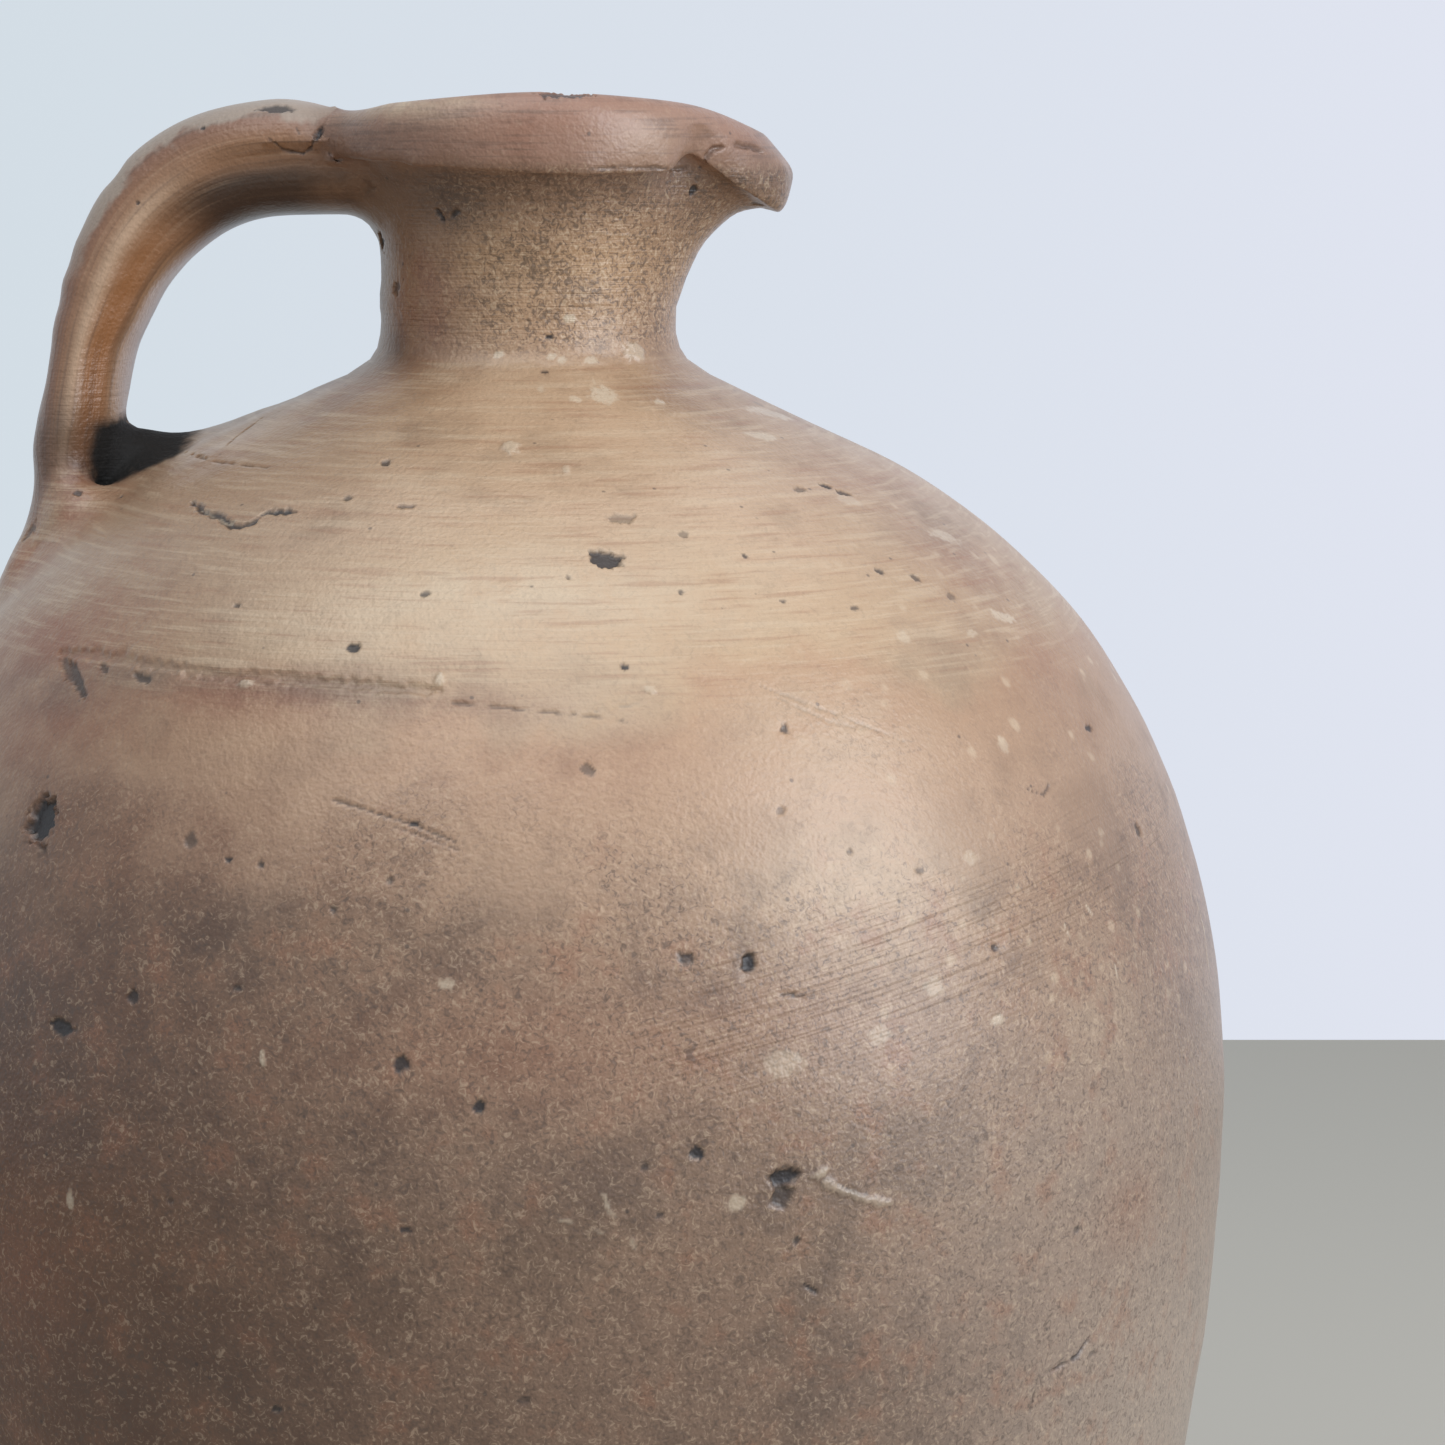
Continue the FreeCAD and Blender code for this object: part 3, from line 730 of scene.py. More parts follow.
# The same, for pale flecks of glaze and lime that lie on the surface
FLECKS = [
    (511, 447, 18, 11, 0, -0.3, 0.6), (566, 470, 9, 7, 0, -0.2, 0.5), (570, 319, 14, 9, 0, -0.1, 1.0),
    (499, 355, 13, 8, 20, 0, 0.7), (551, 357, 13, 6, 20, 0, 0.7), (562, 360, 11, 9, 0, 0, 0.7),
    (591, 360, 15, 7, 0, 0, 0.7), (634, 352, 22, 20, 0, -0.4, 0.5), (604, 395, 31, 17, 0, 0, 0.8),
    (575, 399, 12, 7, 0, 0, 0.7), (541, 389, 8, 6, 0, 0, 0.5), (659, 402, 10, 6, 0, 0, 0.7),
    (770, 413, 30, 11, -24, 0, 0.5), (762, 436, 26, 9, -20, 0, 0.5), (262, 1057, 7, 19, 10, -0.2, 0.7),
    (447, 984, 17, 13, 0, 0, 0.55), (998, 1020, 16, 11, 0, 0, 0.6), (736, 1203, 22, 19, 0, 0, 0.55),
    (70, 1200, 9, 18, 0, 0, 0.6), (1003, 617, 22, 12, -20, 0, 0.6), (972, 633, 12, 7, 0, 0, 0.45),
    (903, 637, 14, 11, 0, 0, 0.45), (944, 536, 20, 12, -20, 0, 0.5), (848, 500, 22, 10, -20, 0, 0.35),
    (1003, 745, 12, 16, 0, 0, 0.4), (783, 1062, 44, 32, 0, 0, 0.35), (880, 1035, 22, 22, 0, 0, 0.35),
    (935, 988, 22, 20, 0, 0, 0.35), (970, 858, 16, 16, 0, 0, 0.35), (821, 1173, 17, 9, 20, -0.3, 0.45),
    (440, 680, 10, 14, 0, -0.3, 0.6), (245, 684, 18, 9, 0, -0.3, 0.5), (650, 690, 12, 9, 0, -0.2, 0.4)]

# The points of each line in pixels, its width and depth in millimetres, and its shares burnt and pale
LINES = [
    ([(191, 502), (206, 512), (219, 516), (233, 526), (249, 524), (262, 515)], 1.7, 0.7, 0.9, 0.0),
    ([(262, 514), (276, 511), (296, 512)], 2.0, 0.6, 0.95, 0.0),
    ([(200, 508), (226, 522), (246, 519)], 0.8, 0.2, 0.0, 0.5),
    ([(186, 452), (214, 461), (270, 468)], 0.6, 0.4, 0.6, 0.0),
    ([(226, 446), (236, 437), (262, 418)], 0.6, 0.3, 0.5, 0.0),
    ([(60, 652), (96, 654), (150, 664), (178, 668), (230, 676), (262, 675), (300, 681), (340, 682),
      (392, 688), (440, 690)], 2.4, 0.45, 0.1, 0.0),
    ([(186, 678), (262, 684), (300, 682), (330, 687), (400, 690)], 0.8, 0.3, 0.15, 0.0),
    ([(450, 703), (500, 707), (540, 712), (592, 716), (628, 722)], 0.7, 0.3, 0.5, 0.0),
    ([(592, 713), (604, 708), (640, 704)], 0.5, 0.2, 0.3, 0.2),
    ([(760, 686), (850, 720), (905, 742)], 0.5, 0.2, 0.25, 0.1),
    ([(775, 697), (830, 722), (866, 730)], 0.4, 0.15, 0.2, 0.1),
    ([(330, 799), (380, 814), (420, 827), (458, 843)], 0.5, 0.3, 0.6, 0.0),
    ([(392, 826), (420, 835), (470, 854)], 0.4, 0.2, 0.4, 0.0),
    ([(812, 1176), (846, 1192), (868, 1201), (892, 1203)], 1.6, -0.3, 0.0, 0.3),
    ([(838, 1184), (872, 1201), (886, 1203)], 0.5, 0.3, 0.5, 0.0),
    ([(560, 1220), (582, 1224), (604, 1234)], 0.9, -0.1, 0.0, 0.45),
    ([(604, 1192), (608, 1210), (626, 1228), (638, 1254)], 0.9, -0.1, 0.0, 0.5),
    ([(1090, 1336), (1078, 1356), (1060, 1366), (1032, 1381)], 0.9, 0.5, 0.8, 0.0),
    ([(1036, 1380), (1034, 1396), (1030, 1414)], 0.5, 0.3, 0.6, 0.0),
    ([(1028, 789), (1044, 795), (1052, 780)], 0.6, 0.3, 0.6, 0.0),
    ([(264, 136), (275, 143), (283, 150), (303, 154), (312, 147), (315, 131)], 0.6, 0.4, 0.7, 0.0),
    ([(296, 127), (299, 134)], 0.4, 0.2, 0.5, 0.0),
    ([(1180, 850), (1188, 884), (1196, 916)], 0.5, -0.1, 0.0, 0.95),
    ([(1196, 900), (1204, 930), (1209, 972)], 0.5, -0.1, 0.0, 0.95),
    ([(1184, 925), (1190, 948)], 0.4, -0.1, 0.0, 0.8),
    ([(1064, 925), (1070, 938)], 0.6, -0.1, 0.0, 0.8),
    ([(1084, 902), (1092, 915)], 0.6, -0.1, 0.0, 0.8),
    ([(1113, 960), (1119, 984)], 0.5, -0.1, 0.0, 0.7),
    ([(1160, 968), (1168, 980)], 0.4, -0.1, 0.0, 0.7),
    ([(1214, 1212), (1215, 1232)], 0.5, -0.1, 0.0, 0.8),
    ([(590, 169), (622, 168), (650, 168), (678, 169), (700, 166)], 0.8, 0.3, 0.35, 0.0),
    ([(612, 166), (622, 172)], 0.5, 0.4, 0.9, 0.0),
    ([(700, 167), (708, 156), (716, 149), (728, 143), (746, 146), (770, 153)], 1.3, 0.8, 0.3, 0.0),
    ([(590, 233), (650, 237)], 0.4, -0.15, 0.0, 0.2)]

# Broad stains, dark, rusty and pale, and painted highlights among the pale ones: x, y in pixels, half
# width and half height in millimetres, share
SCORCHES = [
    (235, 955, 34, 13, 0.6), (120, 1100, 26, 18, 0.55), (300, 1200, 32, 16, 0.5), (40, 1000, 24, 14, 0.5),
    (150, 1380, 46, 18, 0.5), (800, 1190, 18, 9, 0.4), (900, 1390, 30, 14, 0.35),
    (470, 960, 20, 8, 0.35), (700, 965, 20, 6, 0.4), (1130, 890, 12, 18, 0.25), (900, 690, 22, 8, 0.15),
    (40, 690, 18, 6, 0.5), (170, 676, 22, 3, 0.5), (330, 690, 26, 3, 0.45), (72, 448, 9, 10, 0.65),
    (940, 520, 16, 8, 0.25), (640, 1180, 14, 8, 0.4), (690, 330, 10, 5, 0.3), (395, 350, 8, 4, 0.6),
    (450, 205, 8, 5, 0.4), (20, 840, 20, 20, 0.3)]
FLUSHES = [
    (60, 705, 24, 10, 0.9), (60, 640, 30, 16, 1.0), (250, 694, 34, 5, 0.9), (440, 708, 26, 5, 0.6),
    (60, 510, 14, 14, 0.9), (420, 300, 9, 12, 0.9), (30, 740, 24, 10, 0.6), (1130, 1210, 9, 7, 0.5),
    (960, 560, 16, 10, 0.5), (1040, 660, 14, 14, 0.35), (20, 1290, 13, 16, 0.7), (600, 760, 40, 10, 0.35),
    (520, 1050, 34, 11, 0.4), (560, 130, 26, 8, 0.5), (200, 840, 30, 12, 0.3), (330, 385, 14, 6, 0.5),
    (230, 450, 12, 6, 0.4), (70, 460, 12, 12, 1.0), (30, 560, 14, 10, 0.9), (860, 480, 20, 8, 0.35),
    (760, 1010, 30, 10, 0.25), (740, 125, 8, 5, 0.5)]
# Pale stains; the ones at 800, 740 and 860, 890 on the belly and at 640, 140 on the collar are painted
# highlights
BLEACHES_AND_HIGHLIGHTS = [
    (520, 590, 40, 9, 0.7), (560, 712, 18, 5, 0.5), (690, 570, 26, 8, 0.3), (800, 740, 24, 14, 0.35),
    (860, 890, 22, 16, 0.35), (330, 620, 26, 6, 0.4), (250, 440, 16, 5, 0.4), (1100, 1000, 16, 14, 0.2),
    (640, 140, 12, 5, 0.3), (440, 640, 40, 5, 0.4), (350, 106, 12, 3, 0.9), (400, 104, 12, 3, 0.8),
    (450, 102, 8, 2, 0.5)]


def look_at(x, y):
    """The way in which the eye sees a pixel of the photograph."""
    across = (x - PHOTO_SIDE / 2) / FOCAL_PIXELS
    up = (PHOTO_SIDE / 2 - y) / FOCAL_PIXELS
    cos, sin = math.cos(EYE_PITCH), math.sin(EYE_PITCH)
    return Vector((across, cos + up * sin, up * cos - sin)).normalized()


def seen_at(surface, x, y):
    """Where a pixel lies on the wall: its spot, and the ways out, across and up there."""
    spot, out, _, _ = surface.ray_cast(EYE, look_at(x, y))
    if spot is None:
        return None
    across = Vector((0.0, 0.0, 1.0)).cross(out).normalized()
    return spot, out, across, out.cross(across)


def pixel_at(spot):
    """The size of a pixel at a spot, in metres."""
    return (spot - EYE).dot(look_at(PHOTO_SIDE / 2, PHOTO_SIDE / 2)) / FOCAL_PIXELS


def swell_at(spot):
    """How far the wall stands out at a spot, in millimetres."""
    x, y, z = (value / MM for value in spot)

    def uneven(rate):
        return lumps(x * rate[0], y * rate[0], z * rate[1])

    def within(band):
        return math.exp(-((z - band[0]) / band[1]) ** 2)

    turn = math.degrees(math.atan2(y, -x))
    swell = RING_SWELL * (uneven(RING_LUMPS) - 1) + WALL_UNEVEN * (uneven(WALL_LUMPS) - 0.5)
    smear = SMEAR_SWELL[0] + SMEAR_SWELL[1] * uneven(SMEAR_LUMPS)
    swell += smear * within(SMEAR_BAND) * math.exp(-(turn / SMEAR_HALF_ANGLE) ** 2)
    swell += NECK_SWELL * uneven(NECK_LUMPS) * within(NECK_BAND)
    swell += HEM_WAVE * uneven(HEM_LUMPS) * within(HEM_BAND) * eased(math.hypot(x, y), HEM_RADII)
    return swell * eased(z, LEVEL_FOOT)


def moved_out(mesh, amounts):
    """Moves a mesh's vertices along their normals by millimetres."""
    moved = numbers(mesh.vertices, "co", 3) + numbers(mesh.vertices, "normal", 3) * amounts[:, None] * MM
    mesh.vertices.foreach_set("co", moved.ravel())
    mesh.update()


moved_out(jug.data, np.array([swell_at(vertex.co) for vertex in jug.data.vertices]))
wall_surface = tree_of(jug.data)
oval_marks = []
for group, shade in ((PITS, "burnt"), (FLECKS, "pale")):
    for x, y, width, height, tilt, depth, share in group:
        seen = seen_at(wall_surface, x, y)
        if seen:
            spot, out, across, up = seen
            pixel = pixel_at(spot)
            lean = Matrix.Rotation(math.radians(tilt), 3, out)
            half_width = 0.5 * width * pixel / max(MARK_SLANT, abs(across.x))
            half_height = 0.5 * height * pixel / max(
                MARK_SLANT, math.hypot(up.y * math.sin(EYE_PITCH), up.z))
            oval_marks.append((spot, lean @ across / half_width, lean @ up / half_height,
                               max(half_width, half_height) / MM, depth, share, shade))
line_marks = []
for points, width, depth, burnt, pale in LINES:
    pairs = list(zip(points, points[1:]))
    steps = [max(1, round(math.dist(a, b) / LINE_STEP)) for a, b in pairs]
    path = [(a[0] + (b[0] - a[0]) * k / count, a[1] + (b[1] - a[1]) * k / count)
            for (a, b), count in zip(pairs, steps) for k in range(count)] + [points[-1]]
    seen = [found[0] for found in (seen_at(wall_surface, *point) for point in path) if found]
    if len(seen) > 1:
        line_marks.append((seen, width / 2, depth, burnt, pale))


def finer_near(mesh, centres, cell, rounds):
    """Splits the edges near a set of (spot, reach) until they are as short as a cell."""
    spots_near = KDTree(len(centres))
    for index, (spot, _) in enumerate(centres):
        spots_near.insert(spot, index)
    spots_near.balance()
    widest = max(reach for _, reach in centres)
    work = bmesh.new()
    work.from_mesh(mesh)
    edges = list(work.edges)
    for _ in range(rounds):
        split = []
        for edge in edges:
            length = edge.calc_length() / MM
            if length > cell:
                middle = (edge.verts[0].co + edge.verts[1].co) / 2
                for _, index, gap in spots_near.find_range(middle, (widest + length / 2) * MM):
                    if gap / MM < centres[index][1] + length / 2:
                        split.append(edge)
                        break
        done = bmesh.ops.subdivide_edges(work, edges=split, cuts=1, use_grid_fill=True)
        fresh = {face for part in done["geom_inner"] if isinstance(part, bmesh.types.BMVert)
                 for face in part.link_faces}
        edges = list({edge for face in fresh for edge in face.edges})
    bmesh.ops.triangulate(work, faces=[face for face in work.faces if len(face.verts) > 4])
    work.to_mesh(mesh)
    work.free()


centres = [(mark[0], mark[3] + MARK_MARGIN) for mark in oval_marks]
centres += [(spot, mark[1] + MARK_MARGIN) for mark in line_marks for spot in mark[0]]
finer_near(jug.data, centres, MARK_CELL, MARK_ROUNDS)
spots = numbers(jug.data.vertices, "co", 3)
layers = {name: np.zeros(len(spots)) for name in ("burnt", "pale", "scorch", "flush", "bleach")}
sunk = np.zeros(len(spots))
for spot, across, up, reach, depth, share, shade in oval_marks:
    offsets = spots - np.array(spot)
    for index in np.flatnonzero(np.abs(offsets).max(axis=1) < MARK_REACH * reach * MM):
        place = Vector(spots[index] / MM)
        ragged = sum(noise.noise(place * rate) * amount for rate, amount in MARK_RAGGED)
        away = math.hypot(offsets[index] @ across, offsets[index] @ up) * (1 + ragged)
        inside = 1 - eased(away, MARK_EDGE)
        layers[shade][index] = max(layers[shade][index], share * inside)
        sunk[index] = max(sunk[index], depth * inside, key=abs)
for path, half, depth, burnt, pale in line_marks:
    for number, (a, b) in enumerate(zip(path, path[1:])):
        run = np.array(b - a)
        offsets = spots - np.array(a)
        reach = np.linalg.norm(run) / 2 + 2 * half * MM
        near = np.flatnonzero(np.abs(offsets - run / 2).max(axis=1) < reach)
        along = np.clip(offsets[near] @ run / (run @ run), 0.0, 1.0)
        gaps = np.linalg.norm(offsets[near] - along[:, None] * run, axis=1) / MM
        for index, share_along, gap in zip(near, along, gaps):
            place = Vector(spots[index] / MM)
            end_share = min(number + share_along, len(path) - 1 - number - share_along)
            kept_half = half * min(1.0, LINE_TAPER[0] + LINE_TAPER[1] * end_share)
            kept_half *= max(LINE_THINNEST, 1 + LINE_WAVER * noise.noise(place * LINE_LUMPS))
            inside = 1 - eased(gap, (LINE_EDGE[0] * kept_half, LINE_EDGE[1] * kept_half + LINE_SOFTNESS))
            if half < UNBROKEN_HALF:
                inside *= eased(noise.noise(place * LINE_GAPS), LINE_BREAKS)
            layers["burnt"][index] = max(layers["burnt"][index], burnt * inside)
            layers["pale"][index] = max(layers["pale"][index], pale * inside)
            sunk[index] = max(sunk[index], depth * inside, key=abs)
for group, shade in ((SCORCHES, "scorch"), (FLUSHES, "flush"), (BLEACHES_AND_HIGHLIGHTS, "bleach")):
    for x, y, half_width, half_height, share in group:
        seen = seen_at(wall_surface, x, y)
        if seen:
            spot, out, across, up = seen
            offsets = (spots - np.array(spot)) / MM
            away = (offsets @ across / half_width) ** 2 + (offsets @ up / half_height) ** 2
            away += (offsets @ out / max(half_width, half_height)) ** 2
            layers[shade] = np.maximum(layers[shade], share * np.exp(-away))
moved_out(jug.data, -sunk)
layers["drift"] = np.array([0.5 + 0.5 * noise.fractal(
    Vector(place / MM) / DRIFT_SIZE, 1.0, 2.0, DRIFT_OCTAVES) for place in spots])
for name, values in layers.items():
    give(jug.data, name, values)
jug.data.polygons.foreach_set("use_smooth", [True] * len(jug.data.polygons))


# The fired clay: coarse grey-brown stoneware with a thin salt glaze. It burnt buff on the shoulder,
# rusty where the flame licked the handle side, and grey, mottled and darker towards the foot, with
# painted shade towards the handle side and at both sides, and painted highlights on the belly and the
# collar; the strap is glossy orange-brown, worn pale on top, with painted highlights on its ridges and
# painted shade under its root, and the crook under it is painted black, for its shade and its soot.
ZONES = [(0, (96, 75, 60)), (90, (106, 84, 67)), (170, (128, 102, 84)), (205, (142, 115, 94)),
         (232, (158, 128, 104)), (258, (178, 146, 119)), (276, (182, 146, 115)), (284, (190, 160, 128)),
         (306, (194, 164, 135)), (328, (184, 153, 123)), (335, (172, 139, 110)), (350, (184, 149, 114)),
         (368, (150, 119, 96)), (371, (147, 114, 95)), (384, (155, 118, 99))]
ZONE_TOP = 384.0
SCORCHED = (72, 54, 44)
UMBER = (90, 50, 22)
GREYED = (196, 180, 166)
FLUSHED = (138, 85, 58)
# Pale of bleached clay, glaze and lime, also used for the painted highlights
BLEACHED_AND_HIGHLIGHT = (208, 186, 158)
BURNT = (38, 33, 34)
PALE = (206, 188, 164)
GRAIN_DARK = (78, 62, 52)
GRAIN_LIGHT = (212, 188, 160)
NECK_SPECK = (66, 55, 46)
STRAP_BROWN = (150, 110, 80)
# The strap's pale: of its pale pull streaks, and of the painted highlights on its ridges
STRAP_PALE_AND_HIGHLIGHT = (192, 160, 132)
STRAP_ORANGE = (152, 100, 56)
STRAP_RED = (124, 84, 64)
STRAP_WORN = (164, 148, 134)
# Black of soot, and of the painted shade in the crook
SOOT_AND_SHADE = (14, 11, 8)
# Where each part of the jug begins or ends, from 0 at the first height to 1 at the second
NECK_START = (332.0, 337.0)
NECK_END = (371.0, 367.0)
BODY_END = (334.0, 331.0)
SHOULDER_START = (272.0, 286.0)
BELLY_END = (272.0, 235.0)
COLLAR_START = (369.0, 372.0)
# The side that the eye doesn't see, across the jug, and the strap's lower end, along it
UNSEEN_SIDE = (-30.0, 20.0)
STRAP_END = (0.84, 0.72)
# The noises: size in millimetres, detail, roughness, distortion
BLOTCH = (9.0, 3.0, 0.65)
GRAIN = (1.3, 2.0, 0.65, 1.4)
GRIT = (1.0, 1.0, 0.6)
COMBING = (1.0, 2.0, 0.7)
WIPING = (1.0, 0.0)
PULLING = (1.0, 1.0, 0.65)
# How fast the drawn-out noises change: round the wall and up it, and on the strap along it, across
# it and through it
COMB_RATES = (0.05, 1.15)
WIPE_RATES = (0.05, 1.6)
WIPE_LEAN = 0.2
WIPED_BAND = (221.0, 14.0)
PULL_RATES = (3.0, 2.0, 11.0)
LIME_GAP = 6.5
PIT_GAP = 17.0
FINE_PIT_GAP = 7.0
SMOOTHEST = 0.15
GLASS_BEND = 1.5
GLAZE_ROUGHNESS = 0.3


def fired(colour):
    """A colour as read on a screen, as the light it sends back."""
    return (*(((part / 255 + 0.055) / 1.055) ** 2.4 for part in colour), 1.0)


def step(value, low, high):
    """0 below low, 1 above high, smooth between; the other way round where low is above high."""
    return value.nodes.add("ShaderNodeMapRange", {"interpolation_type": "SMOOTHSTEP"},
                           {"Value": value, "From Min": low, "From Max": high})


def cloud(spot, size, detail, roughness=0.5, distortion=0.0):
    """Noise with lumps of a size in millimetres, from 0 to 1."""
    return spot.nodes.add("ShaderNodeTexNoise", None, {
        "Vector": spot, "Scale": 1.0 / size, "Detail": detail, "Roughness": roughness,
        "Distortion": distortion})


def nearest_dot(spot, gap):
    """How far the nearest of some scattered dots is, against the gap between them."""
    return spot.nodes.add("ShaderNodeTexVoronoi", {"feature": "F1"}, {"Vector": spot, "Scale": 1 / gap})


def tinted(share, first, second):
    """The second colour laid over the first, by a share."""
    first, second = (colour if isinstance(colour, Wire) else fired(colour) for colour in (first, second))
    return share.nodes.add("ShaderNodeMix", {"data_type": "RGBA"}, {0: share, 6: first, 7: second}, out=2)


def coated(colour, coats):
    """A colour with others laid over it in turn, each by its own share."""
    for share, coat in coats:
        colour = tinted(share, colour, coat)
    return colour


clay = bpy.data.materials.new("salt_glazed_stoneware")
clay.use_nodes = True
clay.node_tree.nodes.clear()
glaze = Nodes(clay.node_tree)
spot = glaze.add("ShaderNodeVectorMath", {"operation": "SCALE"},
                 {0: glaze.add("ShaderNodeTexCoord", out=3), 3: 1 / MM})
x, y, z = glaze.split(spot)
burnt, pale, scorch, flush, bleach, strap, drift = (
    glaze.add("ShaderNodeAttribute", {"attribute_name": name}, out=2)
    for name in ("burnt", "pale", "scorch", "flush", "bleach", "strap", "drift"))
blotch = cloud(spot, *BLOTCH)
grain = cloud(spot, *GRAIN)
grit = cloud(spot, *GRIT)
combing = cloud(joined(x * COMB_RATES[0], y * COMB_RATES[0], z * COMB_RATES[1]), *COMBING)
wiped_up = z - x * WIPE_LEAN
wiping = cloud(joined(x * WIPE_RATES[0], y * WIPE_RATES[0], wiped_up * WIPE_RATES[1]), *WIPING)
patchy = blotch - 0.5
wander = drift - 0.5

on_neck = step(z, *NECK_START) * step(z, *NECK_END) * (1 - strap)
on_body = step(z, *BODY_END)
on_shoulder = step(z, *SHOULDER_START) * on_body
on_belly = step(z + wander * 50.0, *BELLY_END)
on_collar = step(z, *COLLAR_START)
# Painted shade: the belly darker towards the handle side, away from the window, and partly also the
# browner clay there
shade_and_flame_side = step(x, 40.0, -90.0) * on_belly
facing = x / (x * x + y * y) ** 0.5
speckled = on_neck * step(x + patchy * 30.0, -22.0, 0.0)
limed = step(x, 30.0, 80.0) * step(z, 190.0, 230.0) * step(z, 325.0, 305.0)

# The body's coats over the zones, each a share and its colour: the flame's mottle, painted shade towards
# the handle side and at both sides where the wall turns away, the stains that were set down, among them
# painted highlights, the combed shoulder, the clay's grain, the speckled neck, the collar, specks of lime
height = z + wander * 26.0 * on_body + patchy * 8.0 * on_body
zones = glaze.add("ShaderNodeValToRGB", {"stops": [
    (place / ZONE_TOP, fired(colour)[:3]) for place, colour in ZONES]}, {"Fac": height / ZONE_TOP})
body = coated(zones, [
    (step(drift + patchy * 0.7, 0.5, 0.85) * (0.16 + 0.2 * on_belly), SCORCHED),
    (step(blotch, 0.48, 0.75) * (0.12 + 0.22 * on_belly), SCORCHED),
    # painted shade towards the handle side, partly browner clay
    (shade_and_flame_side * (0.3 + 0.65 * blotch), UMBER),
    (step(x, 40.0, 130.0) * step(z, 235.0, 190.0) * 0.45, GREYED),
    # painted shade: darker at both sides, where the wall turns away from the eye
    (step(facing, -0.1, -0.7) * (0.36 + 0.2 * on_belly), UMBER),
    (step(facing, 0.5, 0.9) * step(z, 130.0, 190.0) * step(z, 372.0, 366.0) * 0.3, UMBER),
    (step(blotch, 0.48, 0.3) * 0.35 * on_belly, FLUSHED),
    # pale stains, among them painted highlights on the belly and the collar
    (bleach * step(blotch + grain * 0.2, 0.35, 0.7), BLEACHED_AND_HIGHLIGHT),
    (flush * step(blotch + grain * 0.3, 0.3, 0.85) * 0.9, FLUSHED),
    (scorch * step(blotch + drift * 0.4, 0.4, 0.85), SCORCHED),
    (step(combing, 0.5, 0.68) * on_shoulder * 0.3, BLEACHED_AND_HIGHLIGHT),
    (step(combing, 0.46, 0.3) * on_shoulder * 0.28, FLUSHED),
    (step(grain, 0.5, 0.7) * (0.12 + 0.5 * on_belly), GRAIN_DARK),
    (step(grain, 0.47, 0.3) * (0.08 + 0.2 * on_belly), GRAIN_LIGHT),
    (step(grain + patchy * 0.25, 0.5, 0.62) * (speckled * 0.45 + on_neck * 0.1), NECK_SPECK),
    (step(grain, 0.45, 0.33) * speckled * 0.45, BLEACHED_AND_HIGHLIGHT),
    (on_neck * step(z, 356.0, 368.0) * 0.35, SCORCHED),
    (on_collar * step(combing + patchy * 0.5, 0.48, 0.75) * 0.4, SCORCHED),
    (step(nearest_dot(spot, LIME_GAP) + patchy * 0.8, 0.2, 0.02) * limed * 0.4, BLEACHED_AND_HIGHLIGHT)])

# The strap's coats: painted highlights on its ridges, orange in the valley between them, red on its back,
# painted shade under its root, and dark in the streaks that the pull left
share, across, out = glaze.split(
    glaze.add("ShaderNodeAttribute", {"attribute_name": "strap_place"}, out=1))
pulls = cloud(joined(share * PULL_RATES[0], across * PULL_RATES[1], out * PULL_RATES[2]), *PULLING)
handle = coated(STRAP_BROWN, [
    # painted highlights along the two pulled ridges
    (bell(out, -0.05, 0.2) * 0.95 * step(share, 0.16, 0.3), STRAP_PALE_AND_HIGHLIGHT),
    (bell(out, -0.92, 0.13) * 0.8 * step(share, 0.2, 0.4), STRAP_PALE_AND_HIGHLIGHT),
    (bell(out, -0.5, 0.26) * 0.9 * step(share, 0.2, 0.4), STRAP_ORANGE),
    (step(out, 0.15, 0.6) * 0.75, STRAP_RED),
    # painted shade under the strap's root
    (step(out, -0.05, -0.4) * step(share, 0.31, 0.17), SCORCHED),
    (step(pulls, 0.54, 0.75) * 0.35, SCORCHED),
    (step(pulls, 0.45, 0.25) * 0.3, STRAP_PALE_AND_HIGHLIGHT),
    (most(scorch, flush * 0.5), SCORCHED)])

# What lies over both: the strap's worn back, the crook painted black for its shade and soot, burnt-out
# pits and pale flecks
worn = step(out + patchy * 0.9, 0.5, 0.7) * step(share, 0.46, 0.3)
on_strap = strap * step(share, *STRAP_END) * step(share + patchy * 0.1, 0.0, 0.1)
# The crook under the strap, painted black for its shade and soot
ragged = patchy * 9.0
in_crook = step(x + ragged, -64.0, -69.0) * step(x, -97.0, -93.0) * step(z, 297.0, 302.0)
in_crook = in_crook * step(y + ragged, -17.0, -11.0) * step(y + ragged, 17.0, 11.0)
in_crook = in_crook * step(z + patchy * 4.0, 322.0, 319.0)
pit = step(nearest_dot(spot, PIT_GAP) + (grain - 0.5) * 0.1, 0.11, 0.06)
pit = pit * step(y, *UNSEEN_SIDE) * (1 - strap)
fine_pit = step(nearest_dot(spot, FINE_PIT_GAP) + (grain - 0.5) * 0.06, 0.075, 0.03) * (1 - strap)
colour = coated(body, [
    (on_strap, handle),
    (worn * strap * 0.9, STRAP_WORN),
    # painted shade and soot: the crook black
    (in_crook * step(blotch, 0.2, 0.4), SOOT_AND_SHADE),
    (most(pit, fine_pit * 0.55, burnt), BURNT),
    (pale * step(grain, 0.2, 0.5), PALE)])

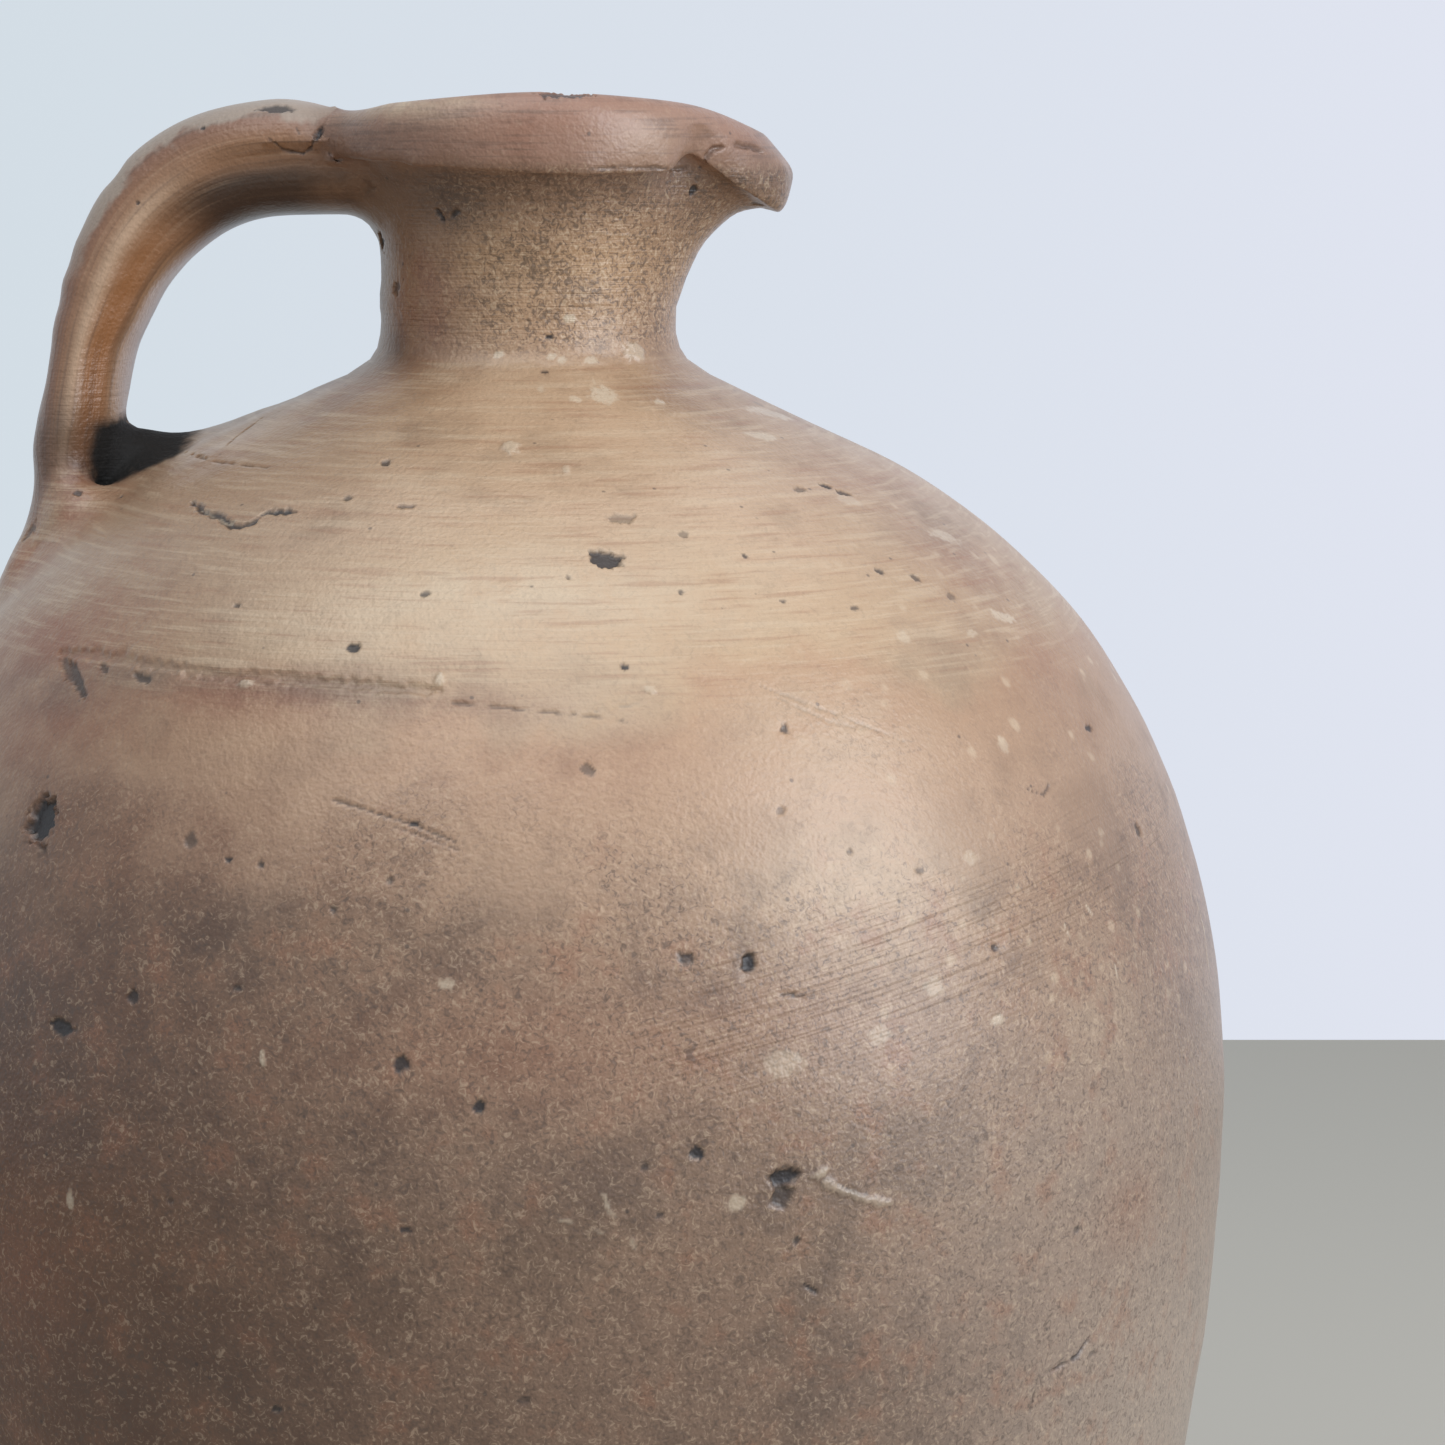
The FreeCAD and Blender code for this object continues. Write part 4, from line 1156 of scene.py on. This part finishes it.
relief = (grit - 0.5) * (0.22 + 0.12 * on_neck) + (combing - 0.5) * (0.2 * on_shoulder + 0.35 * on_neck)
relief = relief + (wiping - 0.5) * 0.4 * bell(wiped_up, *WIPED_BAND) * step(x, 10.0, 40.0)
relief = relief + (pulls - 0.5) * 0.25 * strap * step(share, *STRAP_END)
bump = glaze.add("ShaderNodeBump", None, {"Strength": 1.0, "Distance": MM, "Height": relief})
rough = 0.42 + patchy * 0.25 - 0.05 * on_strap + 0.2 * worn + 0.35 * in_crook - 0.2 * pale
glaze.end("ShaderNodeOutputMaterial", glaze.add("ShaderNodeBsdfPrincipled", None, {
    "Base Color": colour, "Roughness": most(rough, SMOOTHEST), "Normal": bump, "IOR": GLASS_BEND,
    "Coat Weight": 0.4 * (1 - in_crook) * (1 - burnt * 0.7), "Coat Roughness": GLAZE_ROUGHNESS}))
jug.data.materials.clear()
jug.data.materials.append(clay)
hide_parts("jug")
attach(jug, "root")


# The table that the jug stands on, the pale wall behind it, a tall window to the right of the eye, and
# the eye itself.
TABLE_COLOUR = (199, 194, 184)
TABLE_ROUGHNESS = 0.75
TABLE_EDGES = (-1.6, 1.6, -1.6, 0.806)
TABLE_THICKNESS = 0.03
BACKDROP_LEFT = (211, 221, 229)
BACKDROP_RIGHT = (224, 228, 240)
BACKDROP_HALF = 0.2
ROOM_LIGHT = (0.86, 0.93, 1.0, 1.0)
ROOM_STRENGTH = 0.42
WINDOW_WAY = Vector((0.80, -0.46, 0.40))
WINDOW_DISTANCE = 1.25
WINDOW_SIZE = (0.7, 1.0)
WINDOW_POWER = 10.6
WINDOW_COLOUR = (0.93, 0.96, 1.0)
WINDOW_TARGET = Vector((0.0, 0.0, 0.22))
CEILING_PLACE = (-0.12, -0.42, 1.25)
CEILING_SIZE = 1.0
CEILING_POWER = 5.5
CEILING_COLOUR = (1.0, 1.0, 1.0)
SENSOR_WIDTH = 36.0

left, right, front, back = TABLE_EDGES
board = bmesh.new()
bmesh.ops.create_cube(board, size=1.0)
for vertex in board.verts:
    vertex.co = (left + (right - left) * (vertex.co.x + 0.5),
                 front + (back - front) * (vertex.co.y + 0.5), TABLE_THICKNESS * (vertex.co.z - 0.5))
table_mesh = bpy.data.meshes.new("table")
board.to_mesh(table_mesh)
board.free()
table = put("table", table_mesh)
paint = bpy.data.materials.new("pale_board")
paint.use_nodes = True
matt = paint.node_tree.nodes["Principled BSDF"]
matt.inputs["Base Color"].default_value = fired(TABLE_COLOUR)
matt.inputs["Roughness"].default_value = TABLE_ROUGHNESS
table_mesh.materials.append(paint)

world = bpy.data.worlds.new("room")
bpy.context.scene.world = world
world.use_nodes = True
world.node_tree.nodes.clear()
room = Nodes(world.node_tree)
way = room.split(room.add("ShaderNodeTexCoord", out=0))[0]
backdrop = tinted((way + BACKDROP_HALF) / (2 * BACKDROP_HALF), BACKDROP_LEFT, BACKDROP_RIGHT)
seen_wall = room.add("ShaderNodeBackground", None, {"Color": backdrop, "Strength": 1.0})
lit_room = room.add("ShaderNodeBackground", None, {"Color": ROOM_LIGHT, "Strength": ROOM_STRENGTH})
shown = most(*(room.add("ShaderNodeLightPath", out=f"Is {kind} Ray")
               for kind in ("Camera", "Glossy", "Transmission")))
room.end("ShaderNodeOutputWorld",
         room.add("ShaderNodeMixShader", None, {0: shown, 1: lit_room, 2: seen_wall}))


def soft_light(name, place, size, power, tint):
    """A rectangle of light that faces the jug."""
    lamp = put(name, bpy.data.lights.new(name, "AREA"))
    lamp.data.shape = "RECTANGLE"
    lamp.data.size, lamp.data.size_y = size
    lamp.data.energy = power
    lamp.data.color = tint
    lamp.location = place
    lamp.rotation_euler = (Vector(place) - WINDOW_TARGET).to_track_quat("Z", "Y").to_euler()


soft_light("window", WINDOW_TARGET + WINDOW_WAY.normalized() * WINDOW_DISTANCE, WINDOW_SIZE,
           WINDOW_POWER, WINDOW_COLOUR)
soft_light("ceiling", CEILING_PLACE, (CEILING_SIZE, CEILING_SIZE), CEILING_POWER, CEILING_COLOUR)

camera = put("camera", bpy.data.cameras.new("camera"))
camera.location = EYE
camera.rotation_euler = (math.pi / 2 - EYE_PITCH, 0, 0)
camera.data.sensor_width = SENSOR_WIDTH
camera.data.lens = SENSOR_WIDTH * FOCAL_PIXELS / PHOTO_SIDE
bpy.context.scene.camera = camera
bpy.context.scene.view_settings.view_transform = "Standard"
